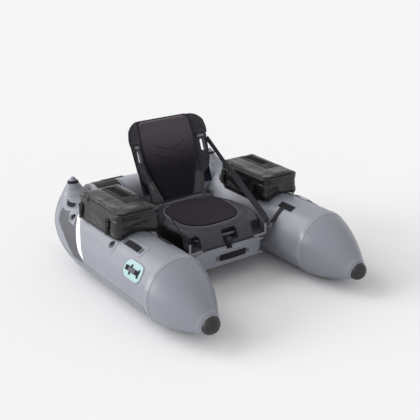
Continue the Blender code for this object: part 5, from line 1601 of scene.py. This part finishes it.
def makeFrontStrap():
    dressedCopy("frontStrap", "front_strap", "webbing", "hull", "webbing", bevel=0.0008)
    # the buckle is turned: its profile is (radius, height) along its axis
    profile = frontBuckle["profile"]

    def place(u, v):
        radius, height = profile[round(v * (len(profile) - 1))]
        return radius * math.cos(2 * math.pi * u), radius * math.sin(2 * math.pi * u), height

    piece = laidGrid("frontBuckle", frontBuckle["steps"], len(profile) - 1, place, closed=True)
    at = Matrix.Translation((frontBuckle["x"], seat["frontY"] - frontBuckle["out"], frontBuckle["z"]))
    piece.data.transform(at @ Matrix.Rotation(math.pi / 2, 4, "X"))
    smooth(piece, 40)
    wear(piece, "blackPlastic", "hull")


makePlatform()
makeCrossTube()
makeFrontStrap()

print("scene: pieces whose CAD shape is right")

# (piece, node, finish, body, slot, bevel); {} is the side
paired = (
    ("sideWeb_{}", "side_web_{}", "hull", "hull", "hull_fabric", 0),
    ("tubeValve_{}", "valve_{}", "blackPlastic", "hull", "black_plastic", 0),
    ("tubeValveCap_{}", "valve_cap_{}", "blackPlastic", "cap_{}", "black_plastic", 0),
    ("seatBracket_{}", "seat_bracket_{}", "greyPlastic", "hull", "grey_plastic", 0.0012),
    ("hingePost_{}", "hinge_bracket_{}", "greyPlastic", "hull", "grey_plastic", 0.0012),
    ("hingePin_{}", "hinge_pin_{}", "aluminium", "hull", "aluminium_tube", 0),
)
for side, word in sides:
    for *texts, bevel in paired:
        dressedCopy(*[text.format(word) for text in texts], bevel=bevel)
dressedCopy("platformValve", "valve_platform", "blackPlastic", "hull", "black_plastic")
dressedCopy("platformValveCap", "valve_cap_platform", "blackPlastic", "cap_platform", "black_plastic")
dressedCopy("rodPatch", "rod_strap_patch", "mintPvc", "hull", "mint_patch")
dressedCopy("rodStrap", "rod_strap", "webbing", "hull", "webbing")

rod = {"middle": (0.046, 0.017, 0.0016), "bevel": 0.0006, "corner": 0.030, "rim": 0.0022, "rimLift": 0.0012}


def nodeSpots(node):
    piece = frame["nodes"][node]
    return [piece.matrix_world @ vertex.co for vertex in piece.data.vertices]


def makeRodTrim():
    # the grey middle of the rod strap lies in the CAD strap's own long, wide and thin directions
    spots = np.array([tuple(spot) for spot in nodeSpots("rod_strap")])
    middle = Vector((spots.max(0) + spots.min(0)) / 2)
    values, vectors = np.linalg.eigh(np.cov((spots - spots.mean(0)).T))
    out, across, along = (Vector(vectors[:, k]) for k in range(3))
    out = -out if out.x > 0 else out
    turn = frameFrom(along, across, out, middle + out * rod["middle"][2])
    wear(blockPiece("rodStrapMiddle", rod["middle"], turn, rod["bevel"]), "greyWebbing", "hull")
    # a rounded rim round the patch, from its reach along the left tube and round it
    spots = nodeSpots("rod_strap_patch")
    lengths = [spot.y - tube["seamY"] for spot in spots]
    angles = [math.degrees(math.atan2(-(spot.x + tube["spacing"]), spot.z - tube["midZ"])) for spot in spots]
    low, high, first, last = min(lengths), max(lengths), min(angles), max(angles)
    halfX, halfY = (high - low) / 2, math.radians(last - first) * tube["radius"] / 2
    loop = [hullPoint(-1, (low + high) / 2 + x, (first + last) / 2 + math.degrees(y / tube["radius"]), rod["rimLift"])
            for x, y in roundedLoop(-halfX, halfX, -halfY, halfY, rod["corner"], 9)]
    wear(cordPiece("rodPatchRim", loop, rod["rim"], True), "tape", "hull")


makeRodTrim()
dressedCopy("seatFrame", "seat_frame_tube", "aluminium", "hull", "aluminium_tube", degrees=60)
